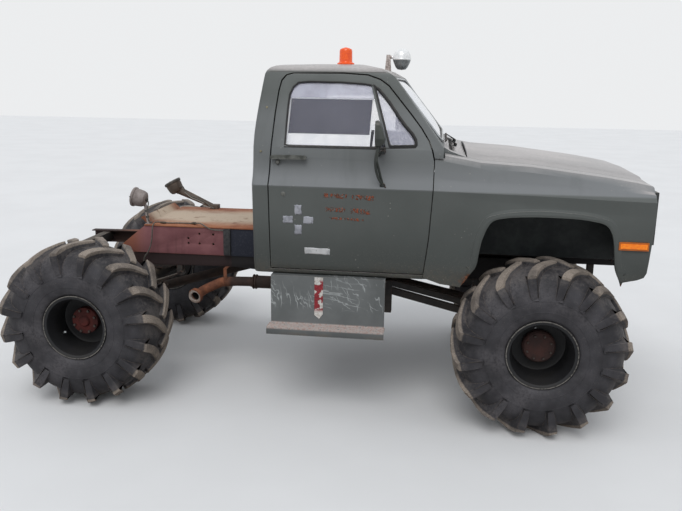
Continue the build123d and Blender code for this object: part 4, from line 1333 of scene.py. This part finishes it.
def make_wipers():
    """Two wipers, parked along the foot of the windshield."""
    bm = bmesh.new()
    for y in (-0.23, 0.23):
        pivot = spot_at(-0.606, y, 1.846)
        hold = on_windshield(y - 0.19, -0.02, 0.034)
        add_rod(bm, pivot, pivot + Vector((0.004, 0, 0.024)), 0.013, 18)
        add_rod(bm, pivot + Vector((0.004, 0, 0.022)), hold, 0.0058, 12, 0, 0.0042)
        for start, end, out in ((-0.41, 0.02, 0.034), (-0.33, -0.06, 0.038)):
            tip = on_windshield(y + end, -0.027, out - 0.004)
            add_rod(bm, on_windshield(y + start, -0.024, out), tip, 0.0036, 10)
        blade = []
        for across, up in ((-0.42, -0.024), (0.03, -0.027)):
            for out in (0.017, 0.031):
                for thick in (-0.0025, 0.0025):
                    blade.append(bm.verts.new(on_windshield(y + across, up + thick, out)))
        close_block(bm, blade, 1)
    mesh_piece("wipers", bm, "chassis", [black_paint, weather_rubber])


ARCH = [
    (-0.564, 0.88), (-0.546, 0.966), (-0.516, 1.004), (-0.443, 1.12), (-0.436, 1.17), (-0.423, 1.283),
    (-0.39, 1.381), (-0.354, 1.437), (-0.238, 1.46), (-0.046, 1.47), (0.209, 1.464), (0.341, 1.441),
    (0.376, 1.417), (0.405, 1.368), (0.42, 1.303), (0.43, 1.226), (0.443, 1.133), (0.497, 1.024),
    (0.504, 0.88),
]
FENDER_SIDE = [(0.9, 0.955), (1.085, 0.974), (1.33, 0.99), (1.596, 1.008), (1.7, 0.975)]
LIP = [
    (-0.0005, -0.016), (-0.0002, 0.003), (0.003, 0.0075), (0.008, 0.0096), (0.015, 0.0102),
    (0.023, 0.009), (0.032, 0.0062), (0.041, 0.003), (0.05, 0.0002), (0.06, -0.003),
]
LIP_FOOT = 1.075


def softened(points, times):
    """The line with its corners cut over and over, so that it curves."""
    for _ in range(times):
        line = [points[0]]
        for (ax, az), (bx, bz) in zip(points, points[1:]):
            for near, far in ((0.75, 0.25), (0.25, 0.75)):
                line.append((ax * near + bx * far, az * near + bz * far))
        points = line + [points[-1]]
    return points


def make_arch_lips():
    """A soft raised lip round each front wheel opening."""
    line = softened(ARCH, 3)
    for name, side in SIDES:
        bm = bmesh.new()
        rows = []
        for i, (x, z) in enumerate(line):
            if z < LIP_FOOT:
                continue
            (ax, az), (bx, bz) = line[max(i - 2, 0)], line[min(i + 2, len(line) - 1)]
            length = sqrt((bx - ax) ** 2 + (bz - az) ** 2)
            nx, nz = -(bz - az) / length, (bx - ax) / length
            fade = min(1.0, (z - 1.07) / 0.05)
            row = []
            for out, proud in LIP:
                px, pz = x + nx * out, z + nz * out
                reach = value_at(FENDER_SIDE, pz) + proud * (fade if proud > 0 else 1)
                row.append(bm.verts.new((x_at(px), side * reach, pz)))
            rows.append(row)
        join_rows(bm, rows)
        lip = mesh_piece("arch_lip_" + name, bm, "chassis", fender_paint, smooth=0)
        thicken(lip, 0.001)


def make_front_lamps():
    """Four rectangular lamps in chrome bezels, and an amber marker in each fender."""
    bm = bmesh.new()
    bezel = bmesh.new()
    for side in (-1, 1):
        for z in (1.4, 1.545):
            y = side * 0.77
            add_box(bm, (x_at(0.632), y - 0.116, z - 0.056), (x_at(0.662), y + 0.116, z + 0.056))
            add_box(bm, (x_at(0.655), y - 0.1, z - 0.043), (x_at(0.667), y + 0.1, z + 0.043), 1)
            for dy, dz, wide, high in ((0, 0.052, 0.117, 0.006), (0, -0.052, 0.117, 0.006),
                                       (0.11, 0, 0.007, 0.058), (-0.11, 0, 0.007, 0.058)):
                low = (x_at(0.65), y + dy - wide, z + dz - high)
                add_box(bezel, low, (x_at(0.6675), y + dy + wide, z + dz + high))
        outer, inner = sorted((side * 1.0005, side * 0.9805))
        add_box(bm, (x_at(0.4475), outer, 1.2725), (x_at(0.6325), inner, 1.3255), 2)
        outer, inner = sorted((side * 1.0037, side * 0.9805))
        add_box(bm, (x_at(0.458), outer, 1.283), (x_at(0.622), inner, 1.315), 3)
    glazing = [chrome, clear_lens, amber_rim, amber]
    lamps = mesh_piece("front_lamps_lenses", bm, "chassis", glazing)
    round_off(lamps, 0.003, 2, 40)
    rims = mesh_piece("headlamp_bezels", bezel, "chassis", chrome)
    round_off(rims, 0.0015, 2, 40)
    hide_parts("front_lamps")


def turned_piece(name, profile, at, direction, body, material, segments=48):
    """A revolved piece: pairs of radius and distance along its direction."""
    bm = bmesh.new()
    add_revolved(bm, profile, segments, "Z", False)
    bmesh.ops.remove_doubles(bm, verts=bm.verts, dist=0.00002)
    turn = Vector((0, 0, 1)).rotation_difference(Vector(direction).normalized()).to_matrix().to_4x4()
    bmesh.ops.transform(bm, matrix=Matrix.Translation(at) @ turn, verts=bm.verts)
    return mesh_piece(name, bm, body, material)


WORK_LAMPS = ((-0.4, (-2.946, 1.392), (-0.98, 0, 0.2)), (0.4, (-2.978, 1.338), (-0.5, 0, 0.866)))
# Lamp profiles: radius and distance ahead of the lamp's back
WORK_LENS = [
    (0.0002, 0.1055), (0.03, 0.105), (0.052, 0.103), (0.0625, 0.1005), (0.0625, 0.0985), (0.0002, 0.0985),
]
WORK_RIM = [
    (0.069, 0.085), (0.0748, 0.087), (0.0752, 0.09), (0.073, 0.0925), (0.0752, 0.095),
    (0.0756, 0.1), (0.0735, 0.104), (0.066, 0.1085), (0.061, 0.1075), (0.061, 0.099),
]
# Leads, from the front axle
NEAR_LEAD = [
    (-2.938, -0.4, 1.392), (-2.93, -0.402, 1.366), (-2.936, -0.415, 1.32),
    (-2.932, -0.416, 1.262), (-2.922, -0.415, 1.222), (-2.905, -0.4, 1.2165),
]
FAR_LEAD = [
    (-2.972, 0.385, 1.33), (-2.93, 0.36, 1.398), (-2.905, 0.362, 1.37), (-2.88, 0.367, 1.33),
    (-2.8, 0.371, 1.292), (-2.72, 0.376, 1.256), (-2.672, 0.366, 1.222), (-2.64, 0.352, 1.211),
]
PALE_WIRE = [(-2.905, 0.366, 1.345), (-2.85, 0.366, 1.3), (-2.79, 0.37, 1.276), (-2.735, 0.372, 1.25)]


def make_work_lamp_parts():
    """Lens, rim rings and fixings of the two work lamps, with their taped leads."""
    for number, (y, (x, z), way) in enumerate(WORK_LAMPS):
        back = spot_at(x, y, z)
        line = Vector(way).normalized()
        end = str(number)
        turned_piece("work_lamp_lens_" + end, WORK_LENS, back, way, "chassis", clear_lens)
        turned_piece("work_lamp_rim_" + end, WORK_RIM, back, way, "chassis",
                     lamp_dark if number else lamp_grey, 64)
        bm = bmesh.new()
        side = line.cross(Vector((0, 1, 0))).normalized()
        for turn in (0.4, 2.5, 4.6):
            spot = back + line * 0.094 + (side * cos(turn) + Vector((0, 1, 0)) * sin(turn)) * 0.073
            add_rod(bm, spot, spot + line * 0.016, 0.0035, 10)
        add_rod(bm, back - line * 0.012, back + line * 0.004, 0.016, 18)
        if number == 0:
            foot = spot_at(-2.936, y, 1.2115)
            for dx, dy in ((-0.01, -0.018), (0.018, 0.018), (0.018, -0.018), (-0.01, 0.018)):
                add_nut(bm, foot + Vector((dx, dy, 0)), 0.006, 0.005, "Z", 1)
            for height in (0.052, 0.098):
                at = spot_at(-2.936 - 0.137 * height, y, 1.206 + height)
                add_rod(bm, at - Vector((0, 0, 0.008)), at + Vector((0, 0, 0.008)), 0.0145, 16)
        mesh_piece("work_lamp_fixings_" + end, bm, "chassis", [lamp_dark])
    for name, points, radius, finish in (("near_lamp_lead", NEAR_LEAD, 0.0045, cable_grey),
                                         ("far_lamp_lead", FAR_LEAD, 0.005, cable_grey),
                                         ("far_lamp_pale_wire", PALE_WIRE, 0.0035, wire_pale)):
        line_piece(name, route(points), radius, "chassis", finish)


CABLE_ROUTE = [
    (-2.322, -0.454, 1.184), (-2.366, -0.454, 1.184), (-2.42, -0.459, 1.187), (-2.466, -0.462, 1.214),
    (-2.506, -0.436, 1.23), (-2.546, -0.402, 1.222), (-2.58, -0.362, 1.212), (-2.64, -0.35, 1.21),
    (-2.72, -0.36, 1.21), (-2.79, -0.384, 1.211), (-2.838, -0.408, 1.22), (-2.862, -0.44, 1.228),
    (-2.874, -0.468, 1.212), (-2.878, -0.478, 1.168), (-2.882, -0.478, 1.105), (-2.896, -0.476, 1.045),
    (-2.92, -0.474, 0.992), (-2.96, -0.47, 0.945), (-2.96, -0.47, 0.9),
]
CABLE_R = 0.005


def make_cable():
    """The limp cable along the deck, with two taped bundles on it."""
    curve = bpy.data.curves.new("deck_cable_line", "CURVE")
    curve.dimensions = "3D"
    curve.bevel_depth = CABLE_R
    curve.bevel_resolution = 3
    curve.resolution_u = 8
    curve.use_fill_caps = True
    spline = curve.splines.new("NURBS")
    spline.points.add(len(CABLE_ROUTE) - 1)
    for point, (x, y, z) in zip(spline.points, CABLE_ROUTE):
        point.co = (x_at(x), y, z, 1)
    spline.order_u = 3
    spline.use_endpoint_u = True
    curve.materials.append(cable_grey)
    cable = stood("deck_cable_line", curve)
    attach(cable, "chassis")
    for name, first, last, reach in (
            ("deck_cable_knot", (-2.56, -0.386, 1.2185), (-2.6, -0.358, 1.2125), 0.0105),
            ("deck_cable_bundle", (-2.798, -0.388, 1.213), (-2.838, -0.409, 1.219), 0.0095)):
        bm = bmesh.new()
        start, end = spot_at(*first), spot_at(*last)
        for k in range(4):
            a, b = start.lerp(end, k * 0.24), start.lerp(end, k * 0.24 + 0.28)
            add_rod(bm, a, b, reach * (0.86, 1.0, 0.92, 0.8)[k], 16)
        mesh_piece(name, bm, "chassis", bundle_tape)
    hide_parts("deck_cable")


def make_nose_baffles():
    """Thin black sheets beside the radiator and behind the lamps, which close the nose off."""
    bm = bmesh.new()
    for side in (-1, 1):
        y0, y1 = sorted((side * 0.35, side * 0.588))
        add_box(bm, (x_at(0.508), y0, 1.1), (x_at(0.511), y1, 1.62))
        y0, y1 = sorted((side * 0.596, side * 0.96))
        add_box(bm, (x_at(0.5925), y0, 1.3), (x_at(0.5955), y1, 1.64))
    mesh_piece("nose_baffles", bm, "chassis", black_paint)


def make_leaf_springs():
    """Packs of curved leaves with their U-bolts, clamps, eyes and hangers."""
    bm = bmesh.new()
    leaves = 6
    for x, reach, tops in ((0.0, 0.43, (0.8905, 1.0385)), (REAR_X - FRONT_X, 0.54, (0.8695, 0.89))):
        for side in (-1, 1):
            y0, y1 = sorted((side * 0.368, side * 0.43))
            for leaf in range(leaves):
                half = (reach - 0.008) * (1 - leaf * 0.145)
                low, high = [], []
                steps = 14
                for i in range(steps + 1):
                    s = -half + 2 * half * i / steps
                    arch = 0.692 + 0.148 * (abs(s) / reach) ** 1.6 - leaf * 0.0079
                    low.append((x_at(x + s), arch - 0.0072))
                    high.append((x_at(x + s), arch))
                for i in range(steps):
                    inset = 0.0 if leaf == 0 else 0.0015
                    quads = []
                    for y in (y0 + inset, y1 - inset):
                        quads += [bm.verts.new((px, y, pz)) for px, pz in (*low[i:i + 2], *high[i:i + 2])]
                    a0, a1, b0, b1, c0, c1, d0, d1 = quads
                    for face in ((a0, a1, b1, b0), (c0, d0, d1, c1), (a0, c0, c1, a1), (b0, b1, d1, d0)):
                        bm.faces.new(face)
                    if i == 0:
                        bm.faces.new((a0, b0, d0, c0))
                    if i == steps - 1:
                        bm.faces.new((a1, c1, d1, b1))
            for end, top in zip((-1, 1), tops):
                eye = x_at(x + end * (reach - 0.016))
                add_rod(bm, (eye, y0, 0.826), (eye, y1, 0.826), 0.021, 20)
                hang = x_at(x + end * (reach - 0.025))
                for y in (y0 + 0.001, y1 - 0.009):
                    add_box(bm, (hang - 0.021, y, 0.822), (hang + 0.021, y + 0.008, top))
            add_box(bm, (x_at(x - 0.062), y0, 0.6525), (x_at(x + 0.062), y1, 0.66))
            for along in (-0.05, 0.05):
                bolt = x_at(x + along)
                for y in (y0 + 0.006, y1 - 0.006):
                    add_rod(bm, (bolt, y, 0.6525), (bolt, y, 0.7015), 0.006, 12)
                add_rod(bm, (bolt, y0 + 0.004, 0.6975), (bolt, y1 - 0.004, 0.6975), 0.006, 12)
    packs = mesh_piece("leaf_spring_packs", bm, "chassis", steel)
    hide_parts("leaf_springs")


def make_axle_parts():
    """Gear housing covers and their bolts, brake drums and shaft joints."""
    bm = bmesh.new()
    for x, y, r in ((0.0, -0.18, 0.108), (REAR_X - FRONT_X, 0.0, 0.14)):
        facing = 1 if x == 0 else -1
        centre = Vector((x_at(x + facing * (0.128 if x == 0 else 0.165) * 0.62), y, AXLE_Z))
        for k in range(10):
            a = 2 * pi * k / 10
            spot = centre + Vector((0, r * 0.92 * cos(a), r * 0.92 * sin(a)))
            add_nut(bm, spot, 0.009, 0.012, "X", facing)
        add_rod(bm, centre - Vector((0.004, 0, 0)), centre + Vector((facing * 0.006, 0, 0)), r, 40)
    mesh_piece("gear_housing_covers", bm, "chassis", oily)
    drum = [(0.04, -0.02), (0.15, -0.022), (0.16, -0.03), (0.164, -0.04), (0.16, -0.048),
            (0.164, -0.056), (0.164, -0.096), (0.168, -0.1), (0.168, -0.106), (0.16, -0.108),
            (0.064, -0.108)]
    for corner, x, outward in CORNERS:
        turned_piece("brake_drum_" + corner, drum, (x, outward * WHEEL_MID, AXLE_Z), (0, outward, 0),
                     "wheel_" + corner, steel, 64)
    bm = bmesh.new()
    for start, end, r in (((-1.28, -0.18, 0.85), (-0.136, -0.18, 0.61), 0.032),
                          ((-1.664, 0.0, 0.985), (REAR_X - FRONT_X + 0.178, 0.0, 0.585), 0.038)):
        a = spot_at(start[0], start[1], start[2])
        b = spot_at(end[0], end[1], end[2])
        line = (b - a).normalized()
        for spot, way in ((a, 1), (b, -1)):
            base = spot + line * 0.03 * way
            add_rod(bm, base, base + line * 0.016 * way, r * 1.45, 28)
            add_rod(bm, base + line * 0.06 * way - Vector((0, r * 1.35, 0)),
                    base + line * 0.06 * way + Vector((0, r * 1.35, 0)), 0.013, 16)
            for y in (-r * 1.2, r * 1.2):
                low = base + line * 0.01 * way + Vector((0, y, 0))
                add_rod(bm, low, low + line * 0.062 * way, 0.011, 12)
    mesh_piece("shaft_joints", bm, "chassis", steel)


def make_exhaust_parts():
    """Muffler bands and flange nuts, the strap under the rail, and the pale ring at the pipe's end."""
    bm = bmesh.new()
    for x in (-2.052, -2.072, -1.508):
        add_rod(bm, (x_at(x), -0.53, 0.815), (x_at(x + 0.009), -0.53, 0.815), 0.056, 40)
    for z in (-0.03, 0.03):
        add_nut(bm, (x_at(-2.078), -0.53 - abs(z) * 0.6, 0.815 + z), 0.009, 0.012, "X", -1)
    add_box(bm, (x_at(-2.312), -0.506, 0.79), (x_at(-2.286), -0.502, 0.897))
    add_box(bm, (x_at(-2.312), -0.506, 0.8945), (x_at(-2.286), -0.43, 0.8985))
    mesh_piece("exhaust_flange_and_hanger", bm, "chassis", pipe_rust)
    ring = [(0.0325, -0.005), (0.0325, 0.011), (0.035, 0.0135), (0.05, 0.0135), (0.053, 0.0105),
            (0.053, -0.005), (0.0325, -0.005)]
    turned_piece("exhaust_end_ring", ring, (x_at(-2.5185), -0.563, 0.687), (-0.12, -0.99, -0.06), "chassis",
                 pipe_ring)


def make_step_parts():
    """The pointed two-colour strip on the skirt, and the stays of both steps."""
    x0, x1 = x_at(-1.525), x_at(-1.466)
    bm = bmesh.new()
    middle = (x0 + x1) / 2
    outline = [(x0, 0.996), (x1, 0.996), (x1, 0.735), (middle + 0.004, 0.701), (x0, 0.728)]
    add_plate(bm, outline, -1.0004, -1.002)
    mesh_piece("skirt_strip", bm, "chassis", strip_worn)
    bm = bmesh.new()
    for side in (-1, 1):
        for x in (-1.76, -1.43, -1.11):
            y0, y1 = sorted((side * 0.43, side * 0.9935))
            add_box(bm, (x_at(x) - 0.015, y0, 0.94), (x_at(x) + 0.015, y1, 0.946))
            add_rod(bm, (x_at(x), side * 0.46, 0.905), (x_at(x), side * 0.99, 0.7), 0.01, 12)
    mesh_piece("step_stays", bm, "chassis", steel)


def make_pillar_rivets():
    """Two rivets on each rear pillar of the cab."""
    bm = bmesh.new()
    for side in (-1, 1):
        for x, y, z in ((-1.882, 0.859, 2.124), (-1.903, 0.9605, 1.838)):
            spot = spot_at(x, side * y, z)
            add_rod(bm, spot - Vector((0, side * 0.004, 0)), spot + Vector((0, side * 0.0035, 0)), 0.0075, 16)
    mesh_piece("pillar_rivets", bm, "chassis", rivet_pale)


SEAT_BASE = [(-1.69, 1.216), (-1.234, 1.216), (-1.234, 1.39), (-1.262, 1.438), (-1.69, 1.43)]
SEAT_BACK = [(-1.832, 1.312), (-1.872, 1.944), (-1.802, 1.958), (-1.726, 1.486), (-1.726, 1.312)]
CHANNELS = [0.105 * k for k in range(-6, 7)]
SEAT_VOXEL, SEAT_MOMENTS, SEAT_SWELL = 0.016, 14, 0.024
SEAT_SIDE_SEAM, CHANNEL_DEEP, SEAM_DEEP = 0.652, 0.008, 0.006


def swelled(name, outline):
    """The mesh of a seat block, blown up like a stuffed cover, with each point's way limited."""
    bm = bmesh.new()
    add_plate(bm, [(x_at(x), z) for x, z in outline], -0.706, 0.706)
    block = finished_mesh(name + "_block", bm)
    scene = bpy.context.scene
    work = stood(name + "_block", block)
    skin = work.modifiers.new("even_skin", "REMESH")
    skin.mode = "VOXEL"
    skin.voxel_size = SEAT_VOXEL
    mesh = bpy.data.meshes.new_from_object(work.evaluated_get(bpy.context.evaluated_depsgraph_get()))
    bpy.data.objects.remove(work)
    cover = stood(name + "_cover", mesh)
    cloth = cover.modifiers.new("stuffing", "CLOTH")
    cloth.settings.quality = 3
    cloth.settings.use_pressure = True
    cloth.settings.uniform_pressure_force = 6
    cloth.settings.effector_weights.gravity = 0
    cloth.point_cache.frame_start = 1
    cloth.point_cache.frame_end = SEAT_MOMENTS
    for moment in range(1, SEAT_MOMENTS + 1):
        scene.frame_set(moment)
    blown = cover.evaluated_get(bpy.context.evaluated_depsgraph_get()).to_mesh()
    places = []
    for point, moved in zip(mesh.vertices, blown.vertices):
        way = moved.co - point.co
        places.append(point.co + way * min(1.0, SEAT_SWELL / max(way.length, 1e-6)))
    bpy.data.objects.remove(cover)
    scene.frame_set(1)
    for point, place in zip(mesh.vertices, places):
        point.co = place
    finer = stood(name + "_finer", mesh)
    finer.modifiers.new("finer", "SUBSURF").levels = 1
    mesh = bpy.data.meshes.new_from_object(finer.evaluated_get(bpy.context.evaluated_depsgraph_get()))
    bpy.data.objects.remove(finer)
    return mesh


def make_seats():
    """The bench: a cushion and a backrest with sewn channels and a seam round each."""
    for name, outline, upright in (("seat_cushion", SEAT_BASE, False), ("seat_backrest", SEAT_BACK, True)):
        mesh = swelled(name, outline)
        for point in mesh.vertices:
            spot, way = point.co, point.normal
            facing = way.x if upright else max(way.z, way.x * 0.9)
            inside = min(1.0, max(0.0, (0.64 - abs(spot.y)) / 0.02 + 0.5))
            if upright:
                inside *= min(1.0, max(0.0, (1.885 - spot.z) / 0.02))
            nearest = min(abs(spot.y - channel) for channel in CHANNELS)
            groove = CHANNEL_DEEP * max(0.0, 1 - (nearest / 0.013) ** 2) * inside
            edge = (spot.z - 1.892) if upright else (spot.x - x_at(-1.262))
            seam = SEAM_DEEP * max(0.0, 1 - (abs(edge) / 0.011) ** 2)
            if abs(spot.y) > 0.64:
                off = abs(abs(spot.y) - SEAT_SIDE_SEAM)
                seam = max(seam, SEAM_DEEP * max(0.0, 1 - (off / 0.011) ** 2))
            if facing > 0.35:
                point.co = spot - way * max(groove, seam) * min(1.0, (facing - 0.35) * 3)
            if not upright:
                point.co.z = max(point.co.z, 1.207)
        seat = mesh_object(name, mesh, "chassis", seat_cloth, smooth=0)
        if not upright:
            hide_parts("bench_seat")


def make_cowl_louvres():
    """A row of thin slats on the slope under the windshield."""
    bm = bmesh.new()
    tilt = Matrix.Rotation(radians(23), 3, "Y")
    for k in range(25):
        centre = spot_at(-0.618, -0.6 + k * 0.05, 1.8415)
        low, high = centre - Vector((0.038, 0.006, 0.0012)), centre + Vector((0.038, 0.006, 0.0022))
        add_box(bm, low, high, 0, tilt, centre)
    louvres = mesh_piece("cowl_louvres", bm, "chassis", weather_rubber)
    round_off(louvres, 0.0008, 1)


make_seats()
make_tyres()
make_rims()
make_cad_finishes()
make_door_windows()
make_door_parts()
make_door_marks()
make_window_card()
make_cab_windows()
make_windshield_trim()
make_wipers()
make_arch_lips()
make_front_lamps()
make_work_lamp_parts()
make_cable()
make_nose_baffles()
make_leaf_springs()
make_axle_parts()
make_exhaust_parts()
make_step_parts()
make_pillar_rivets()
make_cowl_louvres()
